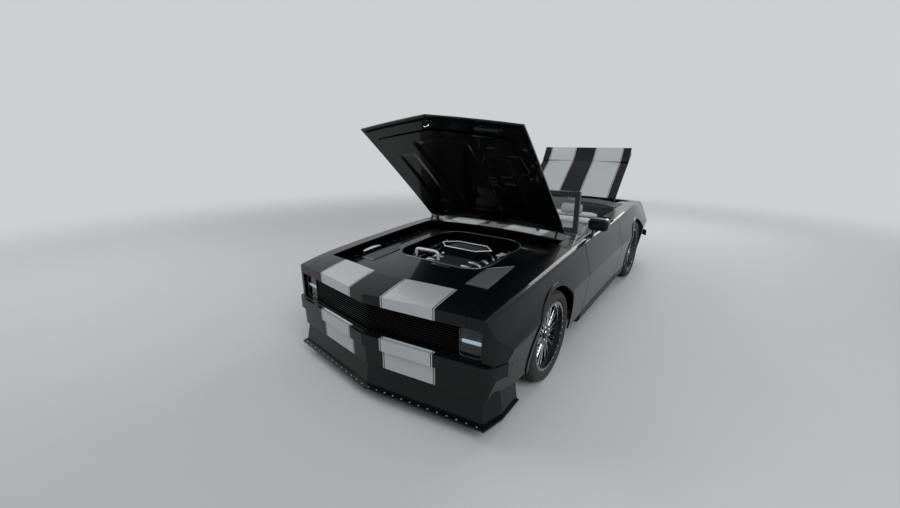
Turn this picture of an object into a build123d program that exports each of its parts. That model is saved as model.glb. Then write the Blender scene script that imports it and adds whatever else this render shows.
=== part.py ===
"""Low two-door open muscle car, with its hood and trunk lid raised.

Frame: +X forward, +Y to the car's left, +Z up, origin on the floor below the middle of the car.
Every length is in millimetres and every angle in degrees.
"""
from build123d import *
from math import atan2, cos, degrees, radians, sin, tan
import os

os.makedirs("parts", exist_ok=True)

# Layout of the car
WHEELBASE = 2743
FRONT_AXLE_X = 1425
REAR_AXLE_X = FRONT_AXLE_X - WHEELBASE
NOSE_X = 2342          # header lip on the centre line
TAIL_X = -2352         # rear panel
NOSE_SLOPE = 0.145     # how far the nose falls back for each millimetre of width
END_WALL = 24          # thickness of the nose's and the tail's own wall
SKIN = 12              # thickness of a fender, quarter, hood or deck skin
FIXED_GAP = 3          # shut line between panels that stay put
MOVING_GAP = 9         # shut line round a panel that opens
HINGE_GAP = 12         # shut line beside the hinges of the hood and the lid
LINING_DEPTH = 14      # inner frame under the hood and the lid
COVER_DEPTH = 70       # engine bay cover, below the hood's outer face
COVER_THICKNESS = 6

# Body sections from nose to tail
SECTION_COLUMNS = ("x", "low_z", "low_y", "crease_z", "crease_y", "shoulder_z", "shoulder_y", "centre_z")
SECTIONS = (
    (2400, 262, 790, 520, 868, 700, 800, 722),
    (2150, 248, 846, 545, 914, 762, 834, 792),
    (1425, 175, 886, 592, 936, 828, 858, 866),
    (600, 138, 878, 590, 932, 866, 860, 904),
    (-350, 138, 878, 588, 930, 872, 858, 908),
    (-1000, 150, 884, 598, 942, 898, 848, 922),
    (-1600, 180, 880, 604, 944, 894, 824, 914),
    (-2400, 262, 800, 585, 884, 838, 760, 856),
)
SHOULDER_R = 42
INNER_SHOULDER_R = 6   # the least that is left of it on an inner layer

# Wheels: radius and width of the tyre, radius of the rim, and the wheel's middle plane
FRONT_TYRE_R = 334
FRONT_TYRE_WIDTH = 265
FRONT_RIM_R = 241
FRONT_WHEEL_Y = 772
REAR_TYRE_R = 355
REAR_TYRE_WIDTH = 325
REAR_RIM_R = 254
REAR_WHEEL_Y = 748
SPOKE_COUNT = 10
HUB_BORE_R = 21
SPINDLE_CLEARANCE = 0.5
DISC_R = 178
DISC_THICKNESS = 28
KINGPIN_Y = 660
STEER_LIMIT = 32
ARCH_CLEARANCE = 38    # from the tyre to the wheel arch
LIP_WIDTH = 26         # rolled lip round an arch
LIP_PROUD = 7          # how far that lip stands out of the skin

# Panel lines
FENDER_LINE_Y = 700    # half width of the hood
HOOD_FRONT_X = 2108    # on the centre line
HOOD_REAR_X = 800
COWL_REAR_X = 540
DOOR_FRONT_X = 700
DOOR_REAR_X = -480
DOOR_INNER_Y = 792
DOOR_REAR_TAPER = 22   # the door's rear end is shorter inside, so that it swings clear
SILL_Z = 258
BOOT_FRONT_X = -1032   # front of the cover over the folded top
BOOT_REAR_X = -1400
LID_FRONT_X = -1450
LID_REAR_X = -2285
LID_HALF_Y = 610
TAIL_PANEL_Y = 760

# Hinges. Hood and lid turn on goosenecks about an axis beyond and below their hinge edge
HOOD_OPEN = 46
LID_OPEN = 46
EDGE_TO_AXIS = 100
AXIS_DROP = 50
GOOSENECK_DEPTH = 70
GOOSENECK_WIDTH = 12
GOOSENECK_BAR = 20
HINGE_PIN_R = 7
HOOD_ARM_Y = 648
LID_ARM_Y = 575
DOOR_OPEN = 62
DOOR_HINGE_INSET = 5

# Nose
GRILLE_HALF_Y = 800
GRILLE_LOW_Z = 492
GRILLE_HIGH_Z = 682
GRILLE_CORNER_R = 36
GRILLE_BARS = 11
GRILLE_POST_PITCH = 46
LAMP_INNER_Y = 646
LAMP_OUTER_Y = 794
TRAY_DEPTH = 60        # from the back of the nose wall to the back of the grille
TRAY_THICKNESS = 6
BUMPER_LOW_Z = 398
BUMPER_HIGH_Z = 482
BUMPER_DEPTH = 70
BUMPER_PROUD = 26
SPLITTER_Z = 88
SPLITTER_THICKNESS = 12
SPLITTER_PROUD = 40

# Jacking pads under the rockers
JACK_PAD_Y = 740
JACK_PAD_FRONT_X = 480
JACK_PAD_REAR_X = -760
JACK_PAD_Z = 128

# Cabin
FLOOR_Z = 150
FLOOR_THICKNESS = 14
TUNNEL_HALF_Y = 130
TUNNEL_Z = 330
FIREWALL_X = 640
FIREWALL_THICKNESS = 12
BULKHEAD_X = -1030
WHEELHOUSE_INNER_Y = 560
SEAT_Y = 375
SEAT_WIDTH = 470
GLASS_TOP_Z = 1205
GLASS_RAKE_X = 405     # how far the header sits behind the base
PILLAR_DEPTH = 34
PILLAR_WIDTH = 42


def station(row):
    """One row of the section table by its column names."""
    return dict(zip(SECTION_COLUMNS, row))


def section_plane(x):
    """Plane across the car at x, with its own x to the left and its own y up."""
    return Plane(origin=(x, 0, 0), x_dir=(0, 1, 0), z_dir=(1, 0, 0))


def body_loft(inset, floor_drop):
    """Body volume through the section table, drawn in by inset, with its bottom lowered by floor_drop."""
    with BuildPart() as volume:
        for row in SECTIONS:
            s = station(row)
            low_z = s["low_z"] - floor_drop
            low_y, crease_y, shoulder_y = (s[k] - inset for k in ("low_y", "crease_y", "shoulder_y"))
            shoulder_z = s["shoulder_z"] - inset
            with BuildSketch(section_plane(s["x"])):
                with BuildLine():
                    Polyline(
                        (-shoulder_y, shoulder_z), (-crease_y, s["crease_z"]), (-low_y, low_z),
                        (low_y, low_z), (crease_y, s["crease_z"]), (shoulder_y, shoulder_z),
                    )
                    ThreePointArc(
                        (shoulder_y, shoulder_z), (0, s["centre_z"] - inset), (-shoulder_y, shoulder_z)
                    )
                shape = make_face()
                tops = shape.vertices().group_by(Axis.Z)[-1]
                fillet(tops, max(SHOULDER_R - inset, INNER_SHOULDER_R))
        loft()
    return volume.part


def plan_prism(setback):
    """Tall block with the car's outline seen from above, its two ends set back from the skin."""
    nose, tail = NOSE_X - setback, TAIL_X + setback
    side, corner = 1000, 862
    with BuildPart() as prism:
        with BuildSketch():
            with BuildLine():
                Polyline(
                    (nose, 0), (nose - NOSE_SLOPE * corner, corner), (2040, 934), (1700, side),
                    (-1900, side), (-2160, 934), (tail, corner - 60), (tail, 60 - corner), (-2160, -934),
                    (-1900, -side), (1700, -side), (2040, -934), (nose - NOSE_SLOPE * corner, -corner),
                    close=True,
                )
            outline = make_face()
            front = outline.vertices().filter_by(lambda v: v.X > 2100 and abs(v.Y) > 700)
            rear = outline.vertices().filter_by(lambda v: v.X < -2300)
            fillet(front, 90)
            fillet(rear, 90)
        extrude(amount=1200)
    return prism.part


def plan_block(points, low, high):
    """Block between two heights over an outline given by its corners in plan."""
    with BuildPart() as block:
        with BuildSketch(Plane.XY.offset(low)):
            with BuildLine():
                Polyline(*points, close=True)
            make_face()
        extrude(amount=high - low)
    return block.part


def box_between(low, high):
    """Box from its lowest to its highest corner."""
    size = [b - a for a, b in zip(low, high)]
    return Pos(*low) * Box(*size, align=(Align.MIN, Align.MIN, Align.MIN), mode=Mode.PRIVATE)


def both_sides(part):
    """A left-hand shape together with its mirror image."""
    return [part, part.mirror(Plane.XZ)]


def on_side(part, side):
    """The shape as made for side 1, the left, or mirrored for side -1."""
    return part if side > 0 else part.mirror(Plane.XZ)


def export(part, name):
    """Label a finished piece and write it to its own file."""
    part.label = name
    export_step(part, f"parts/{name}.step")


SIDES = (("left", 1), ("right", -1))

outer_body = body_loft(0, 0) & plan_prism(0)
inner_body = body_loft(SKIN, 80) & plan_prism(END_WALL)
body_shell = outer_body - inner_body
lip_layer = body_loft(-LIP_PROUD, 0) - inner_body

# Cutters that several panels share
front_arch_r = FRONT_TYRE_R + ARCH_CLEARANCE
rear_arch_r = REAR_TYRE_R + ARCH_CLEARANCE
FRONT_ARCH = (FRONT_AXLE_X, front_arch_r, FRONT_TYRE_R)
REAR_ARCH = (REAR_AXLE_X, rear_arch_r, REAR_TYRE_R)
TOP = 1100
FAR_Y = 1000


def arch_cylinder(arch, radius, y_low, y_high):
    """Cylinder across the car, centred on one axle."""
    x, _, z = arch
    with BuildPart() as cylinder:
        with BuildSketch(Plane(origin=(x, y_low, z), x_dir=(1, 0, 0), z_dir=(0, 1, 0))):
            Circle(radius)
        extrude(amount=y_high - y_low)
    return cylinder.part


def arch_lip(arch):
    """Rolled lip round a wheel arch on the left side, standing proud of the skin."""
    radius = arch[1]
    ring = arch_cylinder(arch, radius + LIP_WIDTH, 500, FAR_Y) - arch_cylinder(arch, radius, 500, FAR_Y)
    return ring & lip_layer


def nose_line(x, y):
    """x of a line parallel to the nose at distance y from the middle."""
    return x - NOSE_SLOPE * abs(y)


def turned(part, pivot, angle):
    """The shape turned by angle about an axis across the car through pivot, its x and z."""
    return part.rotate(Axis((pivot[0], 0, pivot[1]), (0, 1, 0)), angle)


def gooseneck(pivot, ahead, y, height):
    """Hinge arm with a bored eye at the pivot; ahead is 1 where its panel, whose face is at height, lies forward."""
    x, z = pivot
    reach = EDGE_TO_AXIS + 45
    down = GOOSENECK_DEPTH
    tip_z = height(x + ahead * reach, y) - z - SKIN - 4
    corners = [(0, 0), (20, -down), (reach - 20, -down), (reach, tip_z)]
    with BuildPart() as arm:
        with BuildSketch(Plane(origin=(x, y + GOOSENECK_WIDTH / 2, z), x_dir=(ahead, 0, 0), z_dir=(0, -ahead, 0))):
            for start, end in zip(corners, corners[1:]):
                run = Vector(*end) - Vector(*start)
                middle = (Vector(*end) + Vector(*start)) / 2
                with Locations((middle.X, middle.Y)):
                    SlotCenterToCenter(run.length, GOOSENECK_BAR, rotation=degrees(atan2(run.Y, run.X)))
            Circle(HINGE_PIN_R + 7)
            Circle(HINGE_PIN_R + SPINDLE_CLEARANCE, mode=Mode.SUBTRACT)
        extrude(amount=GOOSENECK_WIDTH / 2, both=True)
    return arm.part


def across(x, z, radius, y_low, y_high):
    """Round bar across the car."""
    with BuildPart() as bar:
        with BuildSketch(Plane(origin=(x, y_low, z), x_dir=(1, 0, 0), z_dir=(0, 1, 0))):
            Circle(radius)
        extrude(amount=y_high - y_low)
    return bar.part


def side_profile(points, y_low, y_high, corner_r=0):
    """Block between two widths whose outline is seen from the side as (x, z) corners."""
    with BuildPart() as block:
        with BuildSketch(Plane(origin=(0, y_high, 0), x_dir=(1, 0, 0), z_dir=(0, -1, 0))):
            with BuildLine():
                Polyline(*points, close=True)
            outline = make_face()
            if corner_r:
                fillet(outline.vertices(), corner_r)
        extrude(amount=y_high - y_low)
    return block.part


def surface_z(x, y):
    """Height of the body's upper face at a place seen in plan."""
    rows = [station(row) for row in SECTIONS]
    front, rear = next((a, b) for a, b in zip(rows, rows[1:]) if b["x"] <= x <= a["x"])
    share = (x - rear["x"]) / (front["x"] - rear["x"])
    centre, edge, width = (
        rear[key] + share * (front[key] - rear[key]) for key in ("centre_z", "shoulder_z", "shoulder_y")
    )
    return centre - (centre - edge) * (y / width) ** 2


def nose_ribbon(front, back, half_y, low, high):
    """Strip with the nose's plan shape between two setbacks from the nose."""
    corners = [(nose_line(NOSE_X - front, y), y) for y in (-half_y, 0, half_y)]
    corners += [(nose_line(NOSE_X - back, y), y) for y in (half_y, 0, -half_y)]
    return plan_block(corners, low, high)


def joined(*parts):
    """Shapes fused into one."""
    with BuildPart() as whole:
        for part in parts:
            add(part)
    return whole.part


# Layers that several panels are cut from
lining_layer = inner_body - body_loft(SKIN + LINING_DEPTH, 80)
cover_space = body_loft(COVER_DEPTH + COVER_THICKNESS, 80)
cover_layer = body_loft(COVER_DEPTH, 80) - cover_space

# Hood: cut closed, then raised about its hinge
hood_pivot = (HOOD_REAR_X - EDGE_TO_AXIS, surface_z(HOOD_REAR_X, 0) - AXIS_DROP)
HOOD_FRAME_INSET = 34
HOOD_FRAME_WIDTH = 84


def hood_plan(inset):
    """Corners of the hood in plan, drawn in by inset."""
    half_y = FENDER_LINE_Y - inset
    front, rear = HOOD_FRONT_X - inset, HOOD_REAR_X + inset
    corner_x = nose_line(front, half_y)
    return ((rear, -half_y), (corner_x, -half_y), (front, 0), (corner_x, half_y), (rear, half_y))


hood_region = plan_block(hood_plan(0), 640, TOP)
hood_frame_region = plan_block(hood_plan(HOOD_FRAME_INSET), 640, TOP)
hood_pocket = plan_block(hood_plan(HOOD_FRAME_INSET + HOOD_FRAME_WIDTH), 640, TOP)
hood_arm = gooseneck(hood_pivot, 1, HOOD_ARM_Y, surface_z)
with BuildPart() as hood:
    add(lining_layer)
    add(hood_frame_region, mode=Mode.INTERSECT)
    add(hood_pocket, mode=Mode.SUBTRACT)
    add(body_shell & hood_region)
    add(both_sides(hood_arm))
export(turned(hood.part, hood_pivot, -HOOD_OPEN), "hood")

# Trunk lid with its ducktail
lid_pivot = (LID_FRONT_X + EDGE_TO_AXIS, surface_z(LID_FRONT_X, 0) - AXIS_DROP)
LID_FRAME_INSET = 30
LID_FRAME_WIDTH = 80
DUCKTAIL_RISE = 46
DUCKTAIL_LENGTH = 175
DUCKTAIL_OVERHANG = 34


def lid_plan(inset):
    """Corners of the trunk lid in plan, drawn in by inset."""
    half_y = LID_HALF_Y - inset
    front, rear = LID_FRONT_X - inset, LID_REAR_X + inset
    return ((rear, -half_y), (front, -half_y), (front, half_y), (rear, half_y))


def ducktail(y_low, y_high):
    """Length of the upturned rear edge between two widths."""
    base = surface_z(LID_REAR_X, 0)
    points = (
        (LID_REAR_X + DUCKTAIL_LENGTH, surface_z(LID_REAR_X + DUCKTAIL_LENGTH, 0) - SKIN),
        (LID_REAR_X + DUCKTAIL_LENGTH, surface_z(LID_REAR_X + DUCKTAIL_LENGTH, LID_HALF_Y)),
        (LID_REAR_X + DUCKTAIL_LENGTH / 2, base + DUCKTAIL_RISE / 4),
        (LID_REAR_X - DUCKTAIL_OVERHANG, base + DUCKTAIL_RISE),
        (LID_REAR_X - DUCKTAIL_OVERHANG, base + DUCKTAIL_RISE - 8),
        (LID_REAR_X, base + DUCKTAIL_RISE / 2),
        (LID_REAR_X, base - 2 * SKIN),
    )
    return side_profile(points, y_low, y_high)


lid_region = plan_block(lid_plan(0), 640, TOP)
lid_frame_region = plan_block(lid_plan(LID_FRAME_INSET), 640, TOP)
lid_pocket = plan_block(lid_plan(LID_FRAME_INSET + LID_FRAME_WIDTH), 640, TOP)
lid_arm = gooseneck(lid_pivot, -1, LID_ARM_Y, surface_z)
lid_tail = ducktail(-LID_HALF_Y, LID_HALF_Y)
with BuildPart() as trunk_lid:
    add(lining_layer)
    add(lid_frame_region, mode=Mode.INTERSECT)
    add(lid_pocket, mode=Mode.SUBTRACT)
    add(body_shell & lid_region)
    add(both_sides(lid_arm))
    add(lid_tail)
export(turned(trunk_lid.part, lid_pivot, LID_OPEN), "trunk_lid")

# Doors: as thick as the whole door, with the slot that the glass sinks into
DOOR_SLOT_WIDTH = 26
DOOR_SLOT_DEPTH = 420
DOOR_SLOT_END = 110    # from either end of the door to the slot
SLOT_Y = 826
door_side_y = 930
door_hinge = (DOOR_FRONT_X - DOOR_HINGE_INSET - 1, door_side_y - DOOR_HINGE_INSET)
MIRROR_X = 470
MIRROR_Y = 895
MIRROR_RISE = 72
MIRROR_SIZE = (74, 168, 104)


def door_plan(gap):
    """Corners in plan of the left door, or with a gap of the opening round it."""
    front, rear = DOOR_FRONT_X + gap, DOOR_REAR_X - gap
    return (
        (front, DOOR_INNER_Y), (front, FAR_Y), (rear, FAR_Y), (rear, door_side_y),
        (rear + DOOR_REAR_TAPER, DOOR_INNER_Y),
    )


door_region = plan_block(door_plan(0), SILL_Z, TOP)
door_slot = box_between(
    (DOOR_REAR_X + DOOR_SLOT_END, SLOT_Y - DOOR_SLOT_WIDTH / 2, SILL_Z + 150),
    (DOOR_FRONT_X - DOOR_SLOT_END, SLOT_Y + DOOR_SLOT_WIDTH / 2, TOP),
)
with BuildPart() as door:
    add(outer_body)
    add(door_region, mode=Mode.INTERSECT)
    add(door_slot, mode=Mode.SUBTRACT)
mirror_base_z = surface_z(MIRROR_X, MIRROR_Y - 50) - SKIN
with BuildPart() as mirror_head:
    with Locations((MIRROR_X, MIRROR_Y, mirror_base_z + MIRROR_RISE + MIRROR_SIZE[2] / 2)):
        Box(*MIRROR_SIZE)
    fillet(mirror_head.edges().filter_by(Axis.X), 34)
    fillet(mirror_head.faces().sort_by(Axis.X)[-1].edges(), 20)
with BuildPart() as mirror_stalk:
    with BuildSketch(Plane.XY.offset(mirror_base_z)):
        with Locations((MIRROR_X + 4, MIRROR_Y - 48)):
            SlotOverall(70, 26)
    with BuildSketch(Plane.XY.offset(mirror_base_z + MIRROR_RISE + 12)):
        with Locations((MIRROR_X, MIRROR_Y - 36)):
            SlotOverall(44, 18)
    loft()
whole_door = joined(door.part, mirror_head.part, mirror_stalk.part)
for name, side in SIDES:
    export(on_side(whole_door, side), f"door_{name}")

# Front fenders
FENDER_LOW_Z = 245
SEAM_Z = 440           # fender to valance, behind the end of the bumper
SEAM_X = 2043
front_lip = arch_lip(FRONT_ARCH)
front_arch_cut = arch_cylinder(FRONT_ARCH, front_arch_r, 500, FAR_Y)
fender_region = box_between(
    (DOOR_FRONT_X + MOVING_GAP, FENDER_LINE_Y + MOVING_GAP, FENDER_LOW_Z), (NOSE_X + 50, FAR_Y, TOP)
)
grille_opening = box_between((1900, -GRILLE_HALF_Y, GRILLE_LOW_Z), (NOSE_X + 50, GRILLE_HALF_Y, GRILLE_HIGH_Z))
valance_side = box_between((SEAM_X, -FAR_Y, 0), (NOSE_X + 50, FAR_Y, SEAM_Z))
valance_front = box_between(
    (SEAM_X, -GRILLE_HALF_Y + 10, 0), (NOSE_X + 50, GRILLE_HALF_Y - 10, GRILLE_LOW_Z - FIXED_GAP)
)
valance_gap = joined(
    box_between((SEAM_X - FIXED_GAP, -FAR_Y, 0), (NOSE_X + 50, FAR_Y, SEAM_Z + FIXED_GAP)),
    box_between((SEAM_X, -GRILLE_HALF_Y, 0), (NOSE_X + 50, GRILLE_HALF_Y, GRILLE_LOW_Z)),
)
with BuildPart() as front_fender:
    add(body_shell & fender_region)
    add(front_lip & fender_region)
    add(front_arch_cut, mode=Mode.SUBTRACT)
    add(grille_opening, mode=Mode.SUBTRACT)
    add(valance_gap, mode=Mode.SUBTRACT)
with BuildPart() as front_fenders:
    add(both_sides(front_fender.part))
export(front_fenders.part, "front_fenders")

# Header panel between the fenders, ahead of the hood
header_plan = (
    (nose_line(HOOD_FRONT_X + MOVING_GAP, FENDER_LINE_Y + 6), FENDER_LINE_Y + 6), (HOOD_FRONT_X + MOVING_GAP, 0),
    (nose_line(HOOD_FRONT_X + MOVING_GAP, FENDER_LINE_Y + 6), -FENDER_LINE_Y - 6),
    (NOSE_X + 50, -FENDER_LINE_Y - 6), (NOSE_X + 50, FENDER_LINE_Y + 6),
)
header_region = plan_block(header_plan, GRILLE_HIGH_Z, TOP)
with BuildPart() as header_panel:
    add(body_shell)
    add(header_region, mode=Mode.INTERSECT)
export(header_panel.part, "header_panel")

# Quarters
TAIL_SEAM_X = TAIL_X + END_WALL + 34
SIDE_WALL_Y = 770
SIDE_WALL_REAR_X = -900
quarter_plan = (
    (DOOR_REAR_X - MOVING_GAP, FAR_Y), (DOOR_REAR_X - MOVING_GAP, door_side_y),
    (DOOR_REAR_X - MOVING_GAP + DOOR_REAR_TAPER, DOOR_INNER_Y),
    (DOOR_REAR_X - MOVING_GAP + DOOR_REAR_TAPER, FENDER_LINE_Y + 6),
    (LID_FRONT_X + MOVING_GAP, FENDER_LINE_Y + 6), (LID_FRONT_X + MOVING_GAP, LID_HALF_Y + MOVING_GAP),
    (TAIL_SEAM_X, LID_HALF_Y + MOVING_GAP), (TAIL_SEAM_X, TAIL_PANEL_Y), (TAIL_X - 50, TAIL_PANEL_Y),
    (TAIL_X - 50, FAR_Y),
)
QUARTER_LOW_Z = 249
quarter_region = plan_block(quarter_plan, QUARTER_LOW_Z, TOP)
rear_lip = arch_lip(REAR_ARCH)
rear_arch_cut = arch_cylinder(REAR_ARCH, rear_arch_r, 500, FAR_Y)
side_wall_region = plan_block(
    (
        (DOOR_REAR_X - MOVING_GAP, FAR_Y), (DOOR_REAR_X - MOVING_GAP, door_side_y),
        (DOOR_REAR_X - MOVING_GAP + DOOR_REAR_TAPER, DOOR_INNER_Y),
        (DOOR_REAR_X - MOVING_GAP + DOOR_REAR_TAPER, SIDE_WALL_Y), (SIDE_WALL_REAR_X, SIDE_WALL_Y),
        (SIDE_WALL_REAR_X, FAR_Y),
    ),
    QUARTER_LOW_Z, TOP,
)
ducktail_end = ducktail(LID_HALF_Y + MOVING_GAP, TAIL_PANEL_Y - 30)
with BuildPart() as quarter:
    add(body_shell & quarter_region)
    add(outer_body & side_wall_region)
    add(rear_lip & quarter_region)
    add(rear_arch_cut, mode=Mode.SUBTRACT)
with BuildPart() as quarters:
    add(both_sides(quarter.part))
export(quarters.part, "quarters")

# Deck panel between the top's cover and the lid, and the cover over the folded top
deck_region = plan_block(
    (
        (BOOT_REAR_X - FIXED_GAP, -FENDER_LINE_Y - 3), (BOOT_REAR_X - FIXED_GAP, FENDER_LINE_Y + 3),
        (LID_FRONT_X + HINGE_GAP, FENDER_LINE_Y + 3), (LID_FRONT_X + HINGE_GAP, -FENDER_LINE_Y - 3),
    ),
    640, TOP,
)
pin_y = LID_ARM_Y + 26
bracket_x, bracket_z = lid_pivot[0], lid_pivot[1]
lid_bracket = side_profile(
    (
        (bracket_x + 14, bracket_z - 12), (LID_FRONT_X + HINGE_GAP, bracket_z - 12), (LID_FRONT_X + HINGE_GAP, TOP),
        (BOOT_REAR_X - FIXED_GAP, TOP), (BOOT_REAR_X - FIXED_GAP, bracket_z + 14), (bracket_x + 14, bracket_z + 14),
    ),
    pin_y - 12, pin_y,
) & inner_body
lid_pin = across(*lid_pivot, HINGE_PIN_R, LID_ARM_Y - 20, pin_y)
with BuildPart() as deck_panel:
    add(body_shell)
    add(deck_region, mode=Mode.INTERSECT)
boot_region = box_between(
    (BOOT_REAR_X, -FENDER_LINE_Y - 3, 640), (BOOT_FRONT_X, FENDER_LINE_Y + 3, TOP)
)
with BuildPart() as top_boot:
    add(body_shell)
    add(boot_region, mode=Mode.INTERSECT)
export(top_boot.part, "top_boot")

# Tail panel with its lamp pockets, and the lamps that fill them
LAMP_PITCH = 128
LAMP_SIZE = (112, 84)
LAMP_COUNT = 3
LAMP_FIRST_Y = 400
LAMP_Z = 655
LAMP_SUNK = 16
LAMP_DEPTH = 14
PLATE_HOLE_SPACING = 178
PLATE_HOLE_R = 3.5
PLATE_Z = 520
tail_region = joined(
    box_between((TAIL_X - 50, -TAIL_PANEL_Y + FIXED_GAP, 0), (LID_REAR_X - MOVING_GAP, TAIL_PANEL_Y - FIXED_GAP, TOP)),
)
lamp_places = [(side * (LAMP_FIRST_Y + n * LAMP_PITCH), LAMP_Z) for side in (1, -1) for n in range(LAMP_COUNT)]
tail_plane = Plane(origin=(TAIL_X, 0, 0), x_dir=(0, -1, 0), z_dir=(-1, 0, 0))
with BuildPart() as lamp_pockets:
    with BuildSketch(tail_plane):
        with Locations(*lamp_places):
            RectangleRounded(*LAMP_SIZE, 14)
    extrude(amount=-LAMP_SUNK)
with BuildPart() as tail_lamps:
    with BuildSketch(tail_plane.offset(-LAMP_SUNK)):
        with Locations(*lamp_places):
            RectangleRounded(LAMP_SIZE[0] - 4, LAMP_SIZE[1] - 4, 12)
    extrude(amount=LAMP_DEPTH)
export(tail_lamps.part, "tail_lamps")
with BuildPart() as tail_panel:
    add(body_shell)
    add(tail_region, mode=Mode.INTERSECT)
    add(lamp_pockets.part, mode=Mode.SUBTRACT)
    with BuildSketch(tail_plane):
        with Locations((PLATE_HOLE_SPACING / 2, PLATE_Z), (-PLATE_HOLE_SPACING / 2, PLATE_Z)):
            Circle(PLATE_HOLE_R)
    extrude(amount=-END_WALL, mode=Mode.SUBTRACT)
export(tail_panel.part, "tail_panel")

# Bumpers
REAR_BUMPER_LOW_Z = 372
REAR_BUMPER_HIGH_Z = 452
REAR_BUMPER_PROUD = 30
FRONT_BLADE_END_X = 2112
REAR_BLADE_END_X = -2180
skin_prism = plan_prism(0)
blade_prism = plan_prism(-BUMPER_PROUD)
front_blade_region = box_between((FRONT_BLADE_END_X, -FAR_Y, BUMPER_LOW_Z), (NOSE_X + 60, FAR_Y, BUMPER_HIGH_Z))
with BuildPart() as front_bumper:
    add(blade_prism)
    add(skin_prism, mode=Mode.SUBTRACT)
    add(front_blade_region, mode=Mode.INTERSECT)
export(front_bumper.part, "front_bumper")
rear_blade_prism = plan_prism(-REAR_BUMPER_PROUD)
rear_blade_region = box_between(
    (TAIL_X - 60, -FAR_Y, REAR_BUMPER_LOW_Z), (REAR_BLADE_END_X, FAR_Y, REAR_BUMPER_HIGH_Z)
)
with BuildPart() as rear_bumper:
    add(rear_blade_prism)
    add(skin_prism, mode=Mode.SUBTRACT)
    add(rear_blade_region, mode=Mode.INTERSECT)
export(rear_bumper.part, "rear_bumper")

# Valance with its chin, and the splitter under it
CHIN_TOP_Z = 262
CHIN_TAPER = 9
CHIN_WALL = 22
CHIN_SIDE_X = 1890


def chin_plan(setback):
    """Plan outline of the chin, open at the back, drawn in by setback."""
    nose, half_y, side_y = NOSE_X + 10 - setback, 830 - setback, 872 - setback
    return (
        (CHIN_SIDE_X, -side_y), (2080, -side_y), (nose_line(nose, half_y), -half_y), (nose, 0),
        (nose_line(nose, half_y), half_y), (2080, side_y), (CHIN_SIDE_X, side_y),
    )


chin_height = CHIN_TOP_Z - SPLITTER_Z - SPLITTER_THICKNESS
with BuildPart() as chin:
    with BuildSketch(Plane.XY.offset(SPLITTER_Z + SPLITTER_THICKNESS)):
        with BuildLine():
            Polyline(*chin_plan(0), close=True)
        make_face()
    with BuildSketch(Plane.XY.offset(CHIN_TOP_Z + 14)):
        with BuildLine():
            Polyline(*chin_plan(CHIN_TAPER * 3), close=True)
        make_face()
    loft()
with BuildPart() as chin_hollow:
    with BuildSketch(Plane.XY.offset(SPLITTER_Z + SPLITTER_THICKNESS - 1)):
        with BuildLine():
            Polyline(*[(x - 1, y) for x, y in chin_plan(CHIN_WALL)], close=True)
        make_face()
    with BuildSketch(Plane.XY.offset(CHIN_TOP_Z + 15)):
        with BuildLine():
            Polyline(*[(x - 1, y) for x, y in chin_plan(CHIN_TAPER * 3 + CHIN_WALL)], close=True)
        make_face()
    loft()
valance_region = joined(valance_side, valance_front)
with BuildPart() as front_valance:
    add(body_shell & valance_region)
    add(chin.part - chin_hollow.part)
export(front_valance.part, "front_valance")
with BuildPart() as front_splitter:
    with BuildSketch(Plane.XY.offset(SPLITTER_Z)):
        with BuildLine():
            Polyline(
                (CHIN_SIDE_X, -886), (2100, -886), (nose_line(NOSE_X + SPLITTER_PROUD, 850), -850),
                (NOSE_X + SPLITTER_PROUD, 0), (nose_line(NOSE_X + SPLITTER_PROUD, 850), 850), (2100, 886),
                (CHIN_SIDE_X, 886), (CHIN_SIDE_X, 760), (2050, 740), (2160, 0), (2050, -740), (CHIN_SIDE_X, -760),
                close=True,
            )
        make_face()
    extrude(amount=SPLITTER_THICKNESS)
export(front_splitter.part, "front_splitter")

# Grille: a tray behind the nose, posts and level blades that follow its shallow V
TRAY_HALF_Y = 798
grille_back = END_WALL + TRAY_DEPTH
blade_pitch = (GRILLE_HIGH_Z - GRILLE_LOW_Z) / (GRILLE_BARS + 1)
blade_half_y = LAMP_INNER_Y - 4
tray_floor = nose_ribbon(END_WALL, grille_back, TRAY_HALF_Y, GRILLE_LOW_Z - TRAY_THICKNESS, GRILLE_LOW_Z)
tray_roof = nose_ribbon(END_WALL, grille_back, FENDER_LINE_Y, GRILLE_HIGH_Z, GRILLE_HIGH_Z + TRAY_THICKNESS)
with BuildPart() as grille:
    add(tray_floor)
    add(tray_roof)
    for n in range(GRILLE_BARS):
        z = GRILLE_LOW_Z + (n + 1) * blade_pitch
        with BuildSketch(Plane.XY.offset(z - 2)):
            with BuildLine():
                corners = [(nose_line(NOSE_X - END_WALL - 8, y), y) for y in (-blade_half_y, 0, blade_half_y)]
                corners += [(x - 30, y) for x, y in reversed(corners)]
                Polyline(*corners, close=True)
            make_face()
        extrude(amount=4)
    post_count = int(blade_half_y / GRILLE_POST_PITCH)
    post_places = [n * GRILLE_POST_PITCH for n in range(-post_count, post_count + 1)]
    with BuildSketch(Plane.XY.offset(GRILLE_LOW_Z)):
        with Locations(*[(nose_line(NOSE_X - END_WALL - 33, y), y) for y in post_places]):
            Rectangle(14, 5)
    extrude(amount=GRILLE_HIGH_Z - GRILLE_LOW_Z)
export(grille.part, "grille")

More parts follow.
